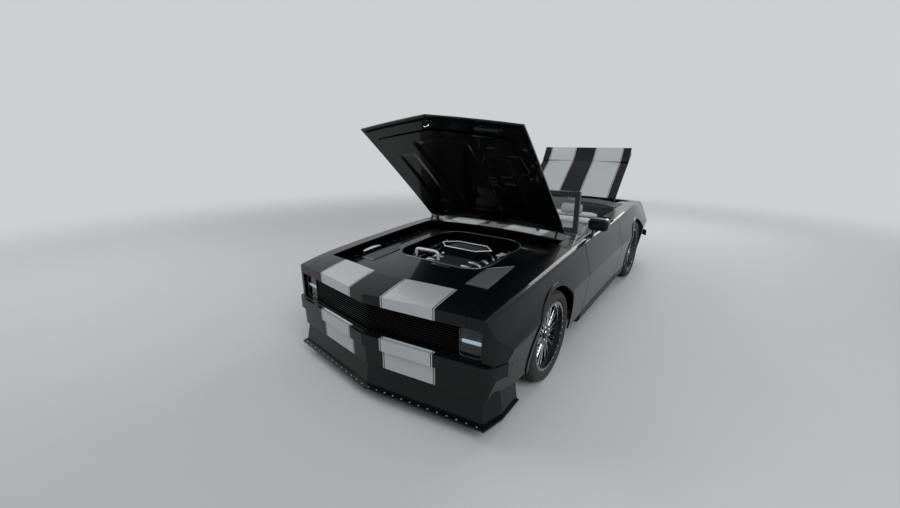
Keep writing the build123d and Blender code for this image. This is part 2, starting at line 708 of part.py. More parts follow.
# Headlamps: housings standing on the grille's tray, each with a light bar
lamp_mid_y = (LAMP_INNER_Y + LAMP_OUTER_Y) / 2
lamp_front_x = nose_line(NOSE_X - END_WALL - 4, lamp_mid_y)
lamp_plane = Plane(origin=(lamp_front_x, lamp_mid_y, 0), x_dir=(-NOSE_SLOPE, 1, 0), z_dir=(1, NOSE_SLOPE, 0))
lamp_height = GRILLE_HIGH_Z - GRILLE_LOW_Z - 14
with BuildPart() as headlamp:
    with BuildSketch(lamp_plane):
        with Locations((0, GRILLE_LOW_Z + lamp_height / 2)):
            RectangleRounded(LAMP_OUTER_Y - LAMP_INNER_Y - 8, lamp_height, 22)
    extrude(amount=-50)
    with BuildSketch(lamp_plane):
        with Locations((0, GRILLE_LOW_Z + lamp_height / 2)):
            RectangleRounded(LAMP_OUTER_Y - LAMP_INNER_Y - 22, lamp_height - 14, 16)
    extrude(amount=-30, mode=Mode.SUBTRACT)
    with BuildSketch(lamp_plane.offset(-30)):
        with Locations((0, GRILLE_LOW_Z + lamp_height / 2)):
            RectangleRounded(LAMP_OUTER_Y - LAMP_INNER_Y - 34, 22, 8)
    extrude(amount=16)
with BuildPart() as headlamps:
    add(both_sides(headlamp.part))
export(headlamps.part, "headlamps")

# Floor pan with tunnel, rockers and toe board
ROCKER_Z = QUARTER_LOW_Z
ROCKER_INNER_Y = 780
FLOOR_TOP_Z = FLOOR_Z + FLOOR_THICKNESS
REAR_FLOOR_X = BULKHEAD_X
TUNNEL_WALL = 8
jack_places = [(x, side * JACK_PAD_Y) for x in (JACK_PAD_FRONT_X, JACK_PAD_REAR_X) for side in (1, -1)]
rocker = outer_body & box_between((SIDE_WALL_REAR_X, ROCKER_INNER_Y, 0), (DOOR_FRONT_X, FAR_Y, ROCKER_Z))
tunnel = box_between((REAR_FLOOR_X, -TUNNEL_HALF_Y, FLOOR_Z), (DOOR_FRONT_X, TUNNEL_HALF_Y, TUNNEL_Z))
tunnel_hollow = box_between(
    (REAR_FLOOR_X - 1, -TUNNEL_HALF_Y + TUNNEL_WALL, 0),
    (DOOR_FRONT_X + 1, TUNNEL_HALF_Y - TUNNEL_WALL, TUNNEL_Z - TUNNEL_WALL),
)
with BuildPart() as floor_pan:
    with BuildSketch(Plane.XY.offset(FLOOR_Z)):
        with BuildLine():
            Polyline(
                (REAR_FLOOR_X, -ROCKER_INNER_Y + 240), (SIDE_WALL_REAR_X, -ROCKER_INNER_Y + 240),
                (SIDE_WALL_REAR_X, -ROCKER_INNER_Y), (DOOR_FRONT_X, -ROCKER_INNER_Y),
                (DOOR_FRONT_X, ROCKER_INNER_Y), (SIDE_WALL_REAR_X, ROCKER_INNER_Y),
                (SIDE_WALL_REAR_X, ROCKER_INNER_Y - 240), (REAR_FLOOR_X, ROCKER_INNER_Y - 240), close=True,
            )
        make_face()
    extrude(amount=FLOOR_THICKNESS)
    add(both_sides(rocker))
    add(tunnel)
    add(tunnel_hollow, mode=Mode.SUBTRACT)
    with BuildSketch(Plane.XY.offset(JACK_PAD_Z)):
        with Locations(*jack_places):
            RectangleRounded(90, 56, 8)
    extrude(amount=FLOOR_Z + 4 - JACK_PAD_Z)
export(floor_pan.part, "floor_pan")

# Cowl: top panel, firewall, door posts and the hinge pins of the hood
POST_INNER_Y = 742
POST_OUTER_Y = 783
POST_REAR_X = 590
COWL_REAR = 540
pin_reach = HOOD_ARM_Y + 26
cowl_plan = (
    (COWL_REAR, -POST_OUTER_Y), (DOOR_FRONT_X, -POST_OUTER_Y), (DOOR_FRONT_X, -FENDER_LINE_Y - 6),
    (HOOD_REAR_X - HINGE_GAP, -FENDER_LINE_Y - 3), (HOOD_REAR_X - HINGE_GAP, FENDER_LINE_Y + 3),
    (DOOR_FRONT_X, FENDER_LINE_Y + 6), (DOOR_FRONT_X, POST_OUTER_Y), (COWL_REAR, POST_OUTER_Y),
)
firewall = box_between(
    (FIREWALL_X, -POST_OUTER_Y, FLOOR_TOP_Z), (FIREWALL_X + FIREWALL_THICKNESS, POST_OUTER_Y, TOP)
) & inner_body
tunnel_mouth = box_between((FIREWALL_X - 1, -TUNNEL_HALF_Y, 0), (FIREWALL_X + 40, TUNNEL_HALF_Y, TUNNEL_Z))
door_post = box_between((POST_REAR_X, POST_INNER_Y, FLOOR_TOP_Z), (DOOR_FRONT_X - 4, POST_OUTER_Y, TOP)) & inner_body
hood_bracket = box_between(
    (hood_pivot[0] - 16, pin_reach - 12, hood_pivot[1] - 12), (hood_pivot[0] + 16, pin_reach, TOP)
) & inner_body
hood_pin = across(*hood_pivot, HINGE_PIN_R, HOOD_ARM_Y - 20, pin_reach)
cowl_top = body_shell & plan_block(cowl_plan, 640, TOP)
rocker_end = box_between((POST_REAR_X - 1, ROCKER_INNER_Y, 0), (DOOR_FRONT_X, FAR_Y, ROCKER_Z))
with BuildPart() as cowl:
    add(cowl_top)
    add(firewall - tunnel_mouth)
    add(both_sides(door_post))
    add(both_sides(rocker_end), mode=Mode.SUBTRACT)
    add(both_sides(hood_bracket))
    add(both_sides(hood_pin))
export(cowl.part, "cowl")

# Rear bulkhead behind the seat and the trunk's floor
BULKHEAD_THICKNESS = 10
TUB_FRONT_Z = 548
TUB_REAR_Z = 330
TUB_STEP_FRONT_X = -1700
TUB_STEP_REAR_X = -1800
TUB_THICKNESS = 10
WHEELHOUSE_WALL = 8
AXLE_SLOT_HALF = 190
AXLE_SLOT_Z = 480
wheelhouse_r = rear_arch_r + 4
bulkhead = box_between(
    (BULKHEAD_X - BULKHEAD_THICKNESS, -WHEELHOUSE_INNER_Y + 8, FLOOR_TOP_Z),
    (BULKHEAD_X, WHEELHOUSE_INNER_Y - 8, TOP),
) & inner_body
upper_bulkhead = box_between(
    (BULKHEAD_X - BULKHEAD_THICKNESS, -SIDE_WALL_Y, 780), (BULKHEAD_X, SIDE_WALL_Y, TOP)
) & inner_body
tub_points = (
    (BULKHEAD_X - 1, TUB_FRONT_Z), (TUB_STEP_FRONT_X, TUB_FRONT_Z), (TUB_STEP_REAR_X, TUB_REAR_Z),
    (TAIL_X + END_WALL, TUB_REAR_Z), (TAIL_X + END_WALL, TUB_REAR_Z - TUB_THICKNESS),
    (TUB_STEP_REAR_X + 6, TUB_REAR_Z - TUB_THICKNESS), (TUB_STEP_FRONT_X + 6, TUB_FRONT_Z - TUB_THICKNESS),
    (BULKHEAD_X - 1, TUB_FRONT_Z - TUB_THICKNESS),
)
tub_floor = side_profile(tub_points, -WHEELHOUSE_INNER_Y + WHEELHOUSE_WALL, WHEELHOUSE_INNER_Y - WHEELHOUSE_WALL)
shaft_opening = box_between(
    (BULKHEAD_X - 20, -TUNNEL_HALF_Y + TUNNEL_WALL, 0), (BULKHEAD_X + 1, TUNNEL_HALF_Y - TUNNEL_WALL, TUNNEL_Z)
)
with BuildPart() as trunk_tub:
    add(tub_floor)
    add(bulkhead - shaft_opening)
    add(upper_bulkhead)
export(trunk_tub.part, "trunk_tub")
house_solid = arch_cylinder(REAR_ARCH, wheelhouse_r + WHEELHOUSE_WALL, WHEELHOUSE_INNER_Y - 8, FAR_Y) & inner_body
house_hollow = arch_cylinder(REAR_ARCH, wheelhouse_r, WHEELHOUSE_INNER_Y, FAR_Y)
axle_slot = box_between(
    (REAR_AXLE_X - AXLE_SLOT_HALF, 0, 0), (REAR_AXLE_X + AXLE_SLOT_HALF, WHEELHOUSE_INNER_Y + 1, AXLE_SLOT_Z)
)
house_region = box_between((-3000, 0, QUARTER_LOW_Z + 20), (0, FAR_Y, TOP))
with BuildPart() as wheelhouse:
    add(house_solid)
    add(house_hollow, mode=Mode.SUBTRACT)
    add(house_region, mode=Mode.INTERSECT)
    add(axle_slot, mode=Mode.SUBTRACT)
with BuildPart() as wheelhouses:
    add(both_sides(wheelhouse.part))
export(wheelhouses.part, "wheelhouses")
deck_post = (
    box_between((LID_FRONT_X + HINGE_GAP + 2, 640, 600), (BOOT_REAR_X - FIXED_GAP - 8, 664, TOP)) & inner_body
) - house_solid
with BuildPart() as deck:
    add(deck_panel.part)
    add(both_sides(lid_bracket))
    add(both_sides(lid_pin))
    add(both_sides(deck_post))
export(deck.part, "deck_panel")

# Inner fenders and the smooth cover over the engine bay
APRON_Z = 690
APRON_THICKNESS = 10
APRON_INNER_Y = 430
APRON_WALL_Y = 688
APRON_FRONT_X = 2040
APRON_REAR_X = FIREWALL_X + FIREWALL_THICKNESS
APRON_SKIRT_Z = 505     # above the upper suspension arms
front_tower_r = front_arch_r + LIP_WIDTH
apron_shelf = box_between(
    (APRON_REAR_X, APRON_INNER_Y, APRON_Z), (APRON_FRONT_X, FAR_Y, APRON_Z + APRON_THICKNESS)
) & inner_body
apron_wall = box_between(
    (APRON_REAR_X, APRON_WALL_Y, APRON_Z), (APRON_FRONT_X, APRON_WALL_Y + 10, TOP)
) & cover_space
apron_skirt = box_between(
    (APRON_REAR_X, APRON_INNER_Y, APRON_SKIRT_Z), (APRON_FRONT_X, APRON_INNER_Y + 8, APRON_Z + APRON_THICKNESS)
)
apron_clear = joined(
    arch_cylinder(FRONT_ARCH, front_tower_r, 820, FAR_Y),
    box_between((0, 700, 0), (DOOR_FRONT_X + MOVING_GAP, FAR_Y, TOP)),
    box_between((hood_pivot[0] - 200, HOOD_ARM_Y - 20, APRON_Z - 1), (HOOD_REAR_X + 80, FENDER_LINE_Y + 3, TOP)),
)
with BuildPart() as inner_fender:
    add(apron_shelf)
    add(apron_wall)
    add(apron_skirt)
    add(apron_clear, mode=Mode.SUBTRACT)
with BuildPart() as inner_fenders:
    add(both_sides(inner_fender.part))
export(inner_fenders.part, "inner_fenders")

BAY_FRONT_X = 1640
BAY_REAR_X = 850
BAY_HALF_Y = 420
COVER_FRONT_SETBACK = 42
cover_plan = (
    (HOOD_REAR_X + 16, -APRON_WALL_Y - 10), (nose_line(HOOD_FRONT_X + COVER_FRONT_SETBACK, 690), -APRON_WALL_Y - 10),
    (HOOD_FRONT_X + COVER_FRONT_SETBACK, 0), (nose_line(HOOD_FRONT_X + COVER_FRONT_SETBACK, 690), APRON_WALL_Y + 10),
    (HOOD_REAR_X + 16, APRON_WALL_Y + 10),
)
vent_plan = ((1990, 330), (1890, 400), (1760, 640), (1880, 620), (1985, 500))
with BuildPart() as bay_opening:
    with BuildSketch():
        with Locations(((BAY_FRONT_X + BAY_REAR_X) / 2, 0)):
            RectangleRounded(BAY_FRONT_X - BAY_REAR_X, 2 * BAY_HALF_Y, 190)
    extrude(amount=TOP)
vent = plan_block(vent_plan, 640, TOP)
cover_lip = nose_ribbon(
    NOSE_X - HOOD_FRONT_X - COVER_FRONT_SETBACK, NOSE_X - HOOD_FRONT_X - COVER_FRONT_SETBACK + 10,
    APRON_WALL_Y, APRON_Z + APRON_THICKNESS, TOP
) & inner_body
cover_sheet = cover_layer & plan_block(cover_plan, 600, TOP)
COVER_NOTCH = 14       # round each arm of the hood
cover_notch = box_between(
    (HOOD_REAR_X, HOOD_ARM_Y - COVER_NOTCH, 600), (HOOD_REAR_X + 80, HOOD_ARM_Y + GOOSENECK_WIDTH + COVER_NOTCH, TOP)
)
with BuildPart() as bay_cover:
    add(cover_sheet)
    add(cover_lip - cover_space)
    add(bay_opening.part, mode=Mode.SUBTRACT)
    add(both_sides(vent), mode=Mode.SUBTRACT)
    add(both_sides(cover_notch), mode=Mode.SUBTRACT)
export(bay_cover.part, "bay_cover")
with BuildPart() as bay_vents:
    add(cover_layer)
    add(joined(*both_sides(vent)), mode=Mode.INTERSECT)
export(bay_vents.part, "bay_vents")

# Engine, gearbox and propeller shaft
ENGINE_REAR_X = 960
ENGINE_FRONT_X = 1560
ENGINE_LOW_Z = 190
CRANK_Z = 340
bank_angle = 45
with BuildPart() as engine:
    with BuildSketch(section_plane(ENGINE_REAR_X)):
        with BuildLine():
            Polyline(
                (-120, ENGINE_LOW_Z), (120, ENGINE_LOW_Z), (150, 300), (180, 380), (330, 520), (230, 640),
                (90, 600), (-90, 600), (-230, 640), (-330, 520), (-180, 380), (-150, 300), close=True,
            )
        make_face()
    extrude(amount=ENGINE_FRONT_X - ENGINE_REAR_X)
    with BuildSketch(section_plane(ENGINE_REAR_X + 40)):
        with BuildLine():
            Polyline((60, 598), (190, 660), (170, 700), (110, 720), (-110, 720), (-170, 700), (-190, 660), (-60, 598), close=True)
        make_face()
    extrude(amount=ENGINE_FRONT_X - ENGINE_REAR_X - 90)
    for side in (1, -1):
        cover_plane = Plane(
            origin=(ENGINE_REAR_X + 30, side * 280, 580), x_dir=(1, 0, 0), z_dir=(0, side * sin(radians(50)), cos(radians(50))),
        )
        with BuildSketch(cover_plane):
            with Locations((270, 0)):
                RectangleRounded(540, 140, 26)
        extrude(amount=70)
    with BuildSketch(section_plane(ENGINE_FRONT_X)):
        with Locations((0, CRANK_Z)):
            Circle(90)
        with Locations((150, 520), (-150, 520)):
            Circle(60)
    extrude(amount=60)
with BuildPart() as gearbox:
    with BuildSketch(section_plane(ENGINE_REAR_X)):
        with Locations((0, CRANK_Z - 40)):
            Circle(100)
    with BuildSketch(section_plane(ENGINE_REAR_X - 240)):
        with Locations((0, CRANK_Z - 90)):
            Circle(72)
    loft()
    with BuildSketch(section_plane(ENGINE_REAR_X - 240)):
        with Locations((0, CRANK_Z - 90)):
            Circle(64)
    extrude(amount=-420)
    with BuildSketch(section_plane(ENGINE_REAR_X - 660)):
        with Locations((0, CRANK_Z - 90)):
            Circle(34)
    extrude(amount=-(ENGINE_REAR_X - 660 - REAR_AXLE_X - 150))
with BuildPart() as power_unit:
    add(engine.part)
    add(gearbox.part)
export(power_unit.part, "engine")

# Windshield: a raked slab between arcs at its foot and its header
SCREEN_LOW_Z = 858
SCREEN_FOOT_X = 622
SCREEN_FOOT_CORNER = (540, 740)
SCREEN_TOP_X = 217
SCREEN_TOP_CORNER = (168, 622)
SCREEN_OPENING_LOW_Z = 914
HEADER_HEIGHT = 36


def screen_corners(front, back, inset, z):
    """Plan arc points of the screen at a height: three in front, then three behind."""
    share = (z - SCREEN_LOW_Z) / (GLASS_TOP_Z - SCREEN_LOW_Z)
    middle_x = SCREEN_FOOT_X + share * (SCREEN_TOP_X - SCREEN_FOOT_X)
    corner_x = SCREEN_FOOT_CORNER[0] + share * (SCREEN_TOP_CORNER[0] - SCREEN_FOOT_CORNER[0])
    corner_y = SCREEN_FOOT_CORNER[1] + share * (SCREEN_TOP_CORNER[1] - SCREEN_FOOT_CORNER[1]) - inset
    return [
        [(corner_x - depth, -corner_y), (middle_x - depth, 0), (corner_x - depth, corner_y)]
        for depth in (front, back)
    ]


def screen_slab(front, back, inset, low, high):
    """Part of the screen's slab between two depths behind its face and between two heights."""
    with BuildPart() as slab:
        for z in (low, high):
            face, rear = screen_corners(front, back, inset, z)
            with BuildSketch(Plane.XY.offset(z)):
                with BuildLine():
                    ThreePointArc(*face)
                    Line(face[2], rear[2])
                    ThreePointArc(*reversed(rear))
                    Line(rear[0], face[0])
                make_face()
        loft()
    return slab.part


screen_opening_high_z = GLASS_TOP_Z - HEADER_HEIGHT
screen_whole = screen_slab(0, PILLAR_DEPTH, 0, SCREEN_LOW_Z, GLASS_TOP_Z)
screen_opening = screen_slab(-20, PILLAR_DEPTH + 20, PILLAR_WIDTH, SCREEN_OPENING_LOW_Z, screen_opening_high_z)
with BuildPart() as windshield_frame:
    add(screen_whole)
    add(screen_opening, mode=Mode.SUBTRACT)
    add(outer_body, mode=Mode.SUBTRACT)
windshield = screen_slab(14, 20, PILLAR_WIDTH, SCREEN_OPENING_LOW_Z, screen_opening_high_z)
export(windshield, "windshield")
REAR_VIEW_SIZE = (24, 236, 62)
with BuildPart() as rear_view_mirror:
    with Locations((130, 0, GLASS_TOP_Z - 60)):
        Box(*REAR_VIEW_SIZE)
    fillet(rear_view_mirror.edges().filter_by(Axis.X), 22)
    with BuildSketch(Plane(origin=(130, 0, GLASS_TOP_Z - 60), x_dir=(0, 1, 0), z_dir=(1, 0, 0))):
        Circle(9)
    extrude(amount=90)
    add(screen_whole, mode=Mode.SUBTRACT)
    rear_view = rear_view_mirror.solids().sort_by(Axis.X)[0]
with BuildPart() as screen_frame:
    add(windshield_frame.part)
    add(rear_view)
export(screen_frame.part, "windshield_frame")

# Dashboard, steering column, console
DASH_LOW_Z = 560
DASH_REAR_X = 395
WHEEL_CENTRE = (292, SEAT_Y, 742)
WHEEL_TILT = 24
dash_points = (
    (FIREWALL_X, 590), (560, DASH_LOW_Z), (450, 600), (DASH_REAR_X, 690), (DASH_REAR_X, 790), (430, 838),
    (520, 862), (FIREWALL_X, 870),
)
dash_bar = side_profile(dash_points, -POST_INNER_Y, POST_INNER_Y) & inner_body
binnacle = side_profile(((470, 800), (385, 800), (372, 850), (392, 884), (470, 878)), SEAT_Y - 190, SEAT_Y + 190)
column_plane = Plane(
    origin=WHEEL_CENTRE, x_dir=(0, 1, 0), z_dir=(cos(radians(WHEEL_TILT)), 0, -sin(radians(WHEEL_TILT)))
)
with BuildPart() as dashboard:
    add(dash_bar)
    add(binnacle)
    with BuildSketch(column_plane.offset(62)):
        Circle(34)
    extrude(amount=110)
export(dashboard.part, "dashboard")
STEERING_R = 178
STEERING_RIM_R = 15
with BuildPart() as steering_wheel:
    with BuildSketch(Plane(origin=WHEEL_CENTRE, x_dir=(0, 1, 0), z_dir=column_plane.x_dir.cross(column_plane.z_dir))):
        with Locations((STEERING_R, 0)):
            Circle(STEERING_RIM_R)
    revolve(axis=Axis(WHEEL_CENTRE, column_plane.z_dir))
    with BuildSketch(column_plane.offset(4)):
        Circle(44)
        for spoke_angle in (0, 180, 270):
            with PolarLocations(0, 1, spoke_angle):
                with Locations((STEERING_R / 2, 0)):
                    Rectangle(STEERING_R, 30)
    extrude(amount=8)
    with BuildSketch(column_plane.offset(0)):
        Circle(40)
    extrude(amount=56)
export(steering_wheel.part, "steering_wheel")

CONSOLE_HALF_Y = 118
console_points = (
    (480, TUNNEL_Z), (450, 540), (380, 556), (300, 470), (120, 420), (-40, 420), (-80, 500), (-430, 500),
    (-450, TUNNEL_Z),
)
console = side_profile(console_points, -CONSOLE_HALF_Y, CONSOLE_HALF_Y)
export(console - joined(*[dashboard.part]), "console")

# Seats
CUSHION_LOW_Z = 250
CUSHION_TOP_Z = 410
cushion_points = ((210, 300), (205, 400), (150, 432), (-160, 398), (-290, 392), (-290, 262), (150, 262))
back_points = ((-292, 300), (-190, 420), (-262, 640), (-350, 830), (-402, 868), (-440, 856), (-442, 800), (-400, 560), (-372, 300))
head_points = ((-388, 884), (-352, 900), (-386, 1000), (-420, 1012), (-448, 1000), (-440, 900))
rail_points = ((100, FLOOR_TOP_Z), (100, 262), (-240, 262), (-240, FLOOR_TOP_Z))
seat_low_y, seat_high_y = SEAT_Y - SEAT_WIDTH / 2, SEAT_Y + SEAT_WIDTH / 2
cushion = side_profile(cushion_points, seat_low_y, seat_high_y, 12)
seat_back = side_profile(back_points, seat_low_y + 10, seat_high_y - 10, 12)
head_rest = side_profile(head_points, SEAT_Y - 125, SEAT_Y + 125, 12)
head_post = side_profile(((-400, 850), (-390, 900), (-420, 900), (-430, 850)), SEAT_Y - 60, SEAT_Y + 60)
seat_rails = [
    side_profile(rail_points, y - 20, y + 20) for y in (SEAT_Y - 170, SEAT_Y + 170)
]
with BuildPart() as seat:
    add(cushion)
    add(seat_back)
    add(head_post)
    add(head_rest)
with BuildPart() as seat_rail_pair:
    add(seat_rails)
seat_base = seat_rail_pair.part - seat.part
with BuildPart() as front_seats:
    add(both_sides(seat.part))
export(front_seats.part, "front_seats")
with BuildPart() as seat_mounts:
    add(both_sides(seat_base))
export(seat_mounts.part, "seat_mounts")
REAR_SEAT_HALF_Y = 530
rear_points = (
    (-560, FLOOR_TOP_Z), (-540, 400), (-800, 380), (-850, 560), (-930, 800), (-960, 830), (BULKHEAD_X, 830),
    (BULKHEAD_X, FLOOR_TOP_Z),
)
rear_block = side_profile(rear_points, -REAR_SEAT_HALF_Y, REAR_SEAT_HALF_Y)
rear_tunnel = box_between((-1200, -TUNNEL_HALF_Y, 0), (-400, TUNNEL_HALF_Y, TUNNEL_Z))
with BuildPart() as rear_seat:
    add(rear_block)
    add(rear_tunnel, mode=Mode.SUBTRACT)
export(rear_seat.part, "rear_seat")

# Front subframe, radiator and suspension arms
RAIL_INNER_Y = 306
RAIL_OUTER_Y = 366
RAIL_LOW_Z = 168
RAIL_HIGH_Z = 252
NOSE_RAIL_LOW_Z = 300
NOSE_RAIL_HIGH_Z = 400
rail_points = (
    (560, RAIL_LOW_Z - 40), (560, FLOOR_Z), (760, FLOOR_Z), (900, RAIL_HIGH_Z), (1700, RAIL_HIGH_Z), (1840, NOSE_RAIL_HIGH_Z),
    (2400, NOSE_RAIL_HIGH_Z), (2400, NOSE_RAIL_LOW_Z), (1880, NOSE_RAIL_LOW_Z), (1760, RAIL_LOW_Z), (900, RAIL_LOW_Z),
    (760, RAIL_LOW_Z - 40),
)
rail = side_profile(rail_points, RAIL_INNER_Y, RAIL_OUTER_Y) & joined(
    inner_body, box_between((0, -900, 0), (1900, 900, 500))
)
cross_front = box_between((2010, -RAIL_INNER_Y, NOSE_RAIL_LOW_Z + 20), (2060, RAIL_INNER_Y, NOSE_RAIL_HIGH_Z - 20))
cross_axle = box_between((1380, -RAIL_INNER_Y, RAIL_LOW_Z - 30), (1470, RAIL_INNER_Y, RAIL_LOW_Z + 16))
TOWER_Y = 430
TOWER_Z = 540
tower = side_profile(
    ((1345, RAIL_HIGH_Z - 10), (1505, RAIL_HIGH_Z - 10), (1480, TOWER_Z), (1370, TOWER_Z)), RAIL_OUTER_Y - 16, TOWER_Y
)
with BuildPart() as subframe:
    add(both_sides(rail))
    add(cross_front)
    add(cross_axle)
    add(both_sides(tower))
    add(both_sides(box_between((1380, RAIL_OUTER_Y - 30, RAIL_HIGH_Z - 40), (1470, RAIL_OUTER_Y, RAIL_HIGH_Z))))
radiator = box_between((1985, -390, NOSE_RAIL_HIGH_Z), (2045, 390, 690)) - cover_layer
export(radiator, "radiator")
LOWER_BALL_Z = 196
UPPER_BALL_Z = 470
BALL_R = 24
ARM_THICKNESS = 20
ARM_PIN_R = 9


def suspension_arm(z, inner_y, inner_half, thickness):
    """Wishbone from the frame to the knuckle, bored for the knuckle's pin."""
    with BuildPart() as arm:
        with BuildSketch(Plane.XY.offset(z - thickness / 2)):
            with BuildLine():
                Polyline(
                    (FRONT_AXLE_X - inner_half, inner_y), (FRONT_AXLE_X + inner_half, inner_y),
                    (FRONT_AXLE_X + BALL_R - 4, KINGPIN_Y), (FRONT_AXLE_X - BALL_R + 4, KINGPIN_Y), close=True,
                )
            make_face()
            with Locations((FRONT_AXLE_X, KINGPIN_Y)):
                Circle(BALL_R)
            with BuildLine():
                Polyline(
                    (FRONT_AXLE_X - inner_half + 46, inner_y - 1), (FRONT_AXLE_X + inner_half - 46, inner_y - 1),
                    (FRONT_AXLE_X, inner_y + (KINGPIN_Y - inner_y) * 0.62), close=True,
                )
            make_face(mode=Mode.SUBTRACT)
            with Locations((FRONT_AXLE_X, KINGPIN_Y)):
                Circle(ARM_PIN_R + SPINDLE_CLEARANCE, mode=Mode.SUBTRACT)
        extrude(amount=thickness)
    return arm.part


lower_arm = suspension_arm(LOWER_BALL_Z, RAIL_OUTER_Y, 150, ARM_THICKNESS)
upper_arm = suspension_arm(UPPER_BALL_Z, TOWER_Y, 100, ARM_THICKNESS - 4)
export(subframe.part, "subframe")

# Knuckles: upright with pins in the arms, spindle and caliper
SPINDLE_R = HUB_BORE_R - SPINDLE_CLEARANCE
DISC_Y = FRONT_WHEEL_Y - 58
CALIPER_R = DISC_R + 22
CALIPER_GAP = 5


def caliper(x, z, disc_y, reach_y):
    """Brake caliper behind an axle on the left side, with a slot for the disc, and its arm to reach_y."""
    with BuildPart() as body:
        with BuildSketch(Plane(origin=(x, disc_y, z), x_dir=(-1, 0, 0), z_dir=(0, 1, 0))):
            Circle(CALIPER_R)
            Circle(DISC_R - 76, mode=Mode.SUBTRACT)
            with Locations((CALIPER_R / 2 + 40, 0)):
                Rectangle(CALIPER_R - 20, 190, mode=Mode.INTERSECT)
        extrude(amount=DISC_THICKNESS / 2 + 34, both=True)
        with BuildSketch(Plane(origin=(x, disc_y, z), x_dir=(-1, 0, 0), z_dir=(0, 1, 0))):
            Circle(DISC_R + CALIPER_GAP)
        extrude(amount=DISC_THICKNESS / 2 + CALIPER_GAP, both=True, mode=Mode.SUBTRACT)
    return body.part


knuckle_back_y = KINGPIN_Y - 24
disc_back_y = DISC_Y - DISC_THICKNESS / 2
knuckle_points = (
    (FRONT_AXLE_X - 26, LOWER_BALL_Z + ARM_THICKNESS / 2 + 6), (FRONT_AXLE_X + 26, LOWER_BALL_Z + ARM_THICKNESS / 2 + 6),
    (FRONT_AXLE_X + 62, FRONT_TYRE_R - 40), (FRONT_AXLE_X + 62, FRONT_TYRE_R + 40), (FRONT_AXLE_X + 24, UPPER_BALL_Z - 16),
    (FRONT_AXLE_X - 24, UPPER_BALL_Z - 16), (FRONT_AXLE_X - 62, FRONT_TYRE_R + 40), (FRONT_AXLE_X - 120, FRONT_TYRE_R + 30),
    (FRONT_AXLE_X - 120, FRONT_TYRE_R - 30), (FRONT_AXLE_X - 62, FRONT_TYRE_R - 40),
)
upright = side_profile(knuckle_points, knuckle_back_y, disc_back_y - 8)
spindle = across(FRONT_AXLE_X, FRONT_TYRE_R, SPINDLE_R, knuckle_back_y, FRONT_WHEEL_Y + 42)
front_caliper = caliper(FRONT_AXLE_X, FRONT_TYRE_R, DISC_Y, KINGPIN_Y)
with BuildPart() as kingpins:
    with BuildSketch(Plane.XY.offset(LOWER_BALL_Z - ARM_THICKNESS / 2 - 6)):
        with Locations((FRONT_AXLE_X, KINGPIN_Y)):
            Circle(ARM_PIN_R)
    extrude(amount=ARM_THICKNESS + 16)
    with BuildSketch(Plane.XY.offset(UPPER_BALL_Z - 20)):
        with Locations((FRONT_AXLE_X, KINGPIN_Y)):
            Circle(ARM_PIN_R)
    extrude(amount=34)
with BuildPart() as knuckle:
    add(upright)
    add(spindle)
    add(kingpins.part)
    add(front_caliper)
for name, side in SIDES:
    export(on_side(knuckle.part, side), f"knuckle_{name}")

# Wheels and tyres
RIM_WALL = 12
RIM_LIP = 13
HUB_R = 72


def wheel(tyre_r, rim_r, width, wheel_y, x, disc_y):
    """Left wheel with its brake disc: barrel, hub, spokes and a bore for the spindle."""
    half = width / 2 - 14
    outer_y = wheel_y + half
    face_y = outer_y - 40
    with BuildPart() as rim:
        with BuildSketch(Plane(origin=(x, 0, tyre_r), x_dir=(0, 1, 0), z_dir=(1, 0, 0))):
            with BuildLine():
                Polyline(
                    (wheel_y - half, rim_r + RIM_LIP), (wheel_y - half + 9, rim_r + RIM_LIP), (wheel_y - half + 9, rim_r),
                    (outer_y - 9, rim_r), (outer_y - 9, rim_r + RIM_LIP), (outer_y, rim_r + RIM_LIP),
                    (outer_y, rim_r - RIM_WALL + 2), (face_y - 10, rim_r - RIM_WALL - 6),
                    (face_y - 50, rim_r - RIM_WALL), (wheel_y - half, rim_r - RIM_WALL), close=True,
                )
            make_face()
        revolve(axis=Axis((x, 0, tyre_r), (0, 1, 0)))
        with BuildSketch(Plane(origin=(x, face_y, tyre_r), x_dir=(1, 0, 0), z_dir=(0, -1, 0))):
            Circle(HUB_R)
            with PolarLocations(0, SPOKE_COUNT):
                for slant in (-1, 1):
                    with BuildLine():
                        Polyline(
                            (HUB_R - 14, slant * 2), (rim_r - RIM_WALL - 2, slant * 22), (rim_r - RIM_WALL - 2, slant * 36),
                            (HUB_R - 14, slant * 14), close=True,
                        )
                    make_face()
        extrude(amount=26)
        with BuildSketch(Plane(origin=(x, disc_y - DISC_THICKNESS / 2, tyre_r), x_dir=(1, 0, 0), z_dir=(0, -1, 0))):
            Circle(DISC_R)
        extrude(amount=-DISC_THICKNESS)
        with BuildSketch(Plane(origin=(x, face_y, tyre_r), x_dir=(1, 0, 0), z_dir=(0, -1, 0))):
            Circle(HUB_R - 10)
        extrude(amount=face_y - disc_y)
        with BuildSketch(Plane(origin=(x, outer_y + 10, tyre_r), x_dir=(1, 0, 0), z_dir=(0, -1, 0))):
            Circle(HUB_BORE_R)
        extrude(amount=width, mode=Mode.SUBTRACT)
        with BuildSketch(Plane(origin=(x, face_y + 2, tyre_r), x_dir=(1, 0, 0), z_dir=(0, -1, 0))):
            Circle(HUB_BORE_R + 14)
        extrude(amount=8)
    return rim.part


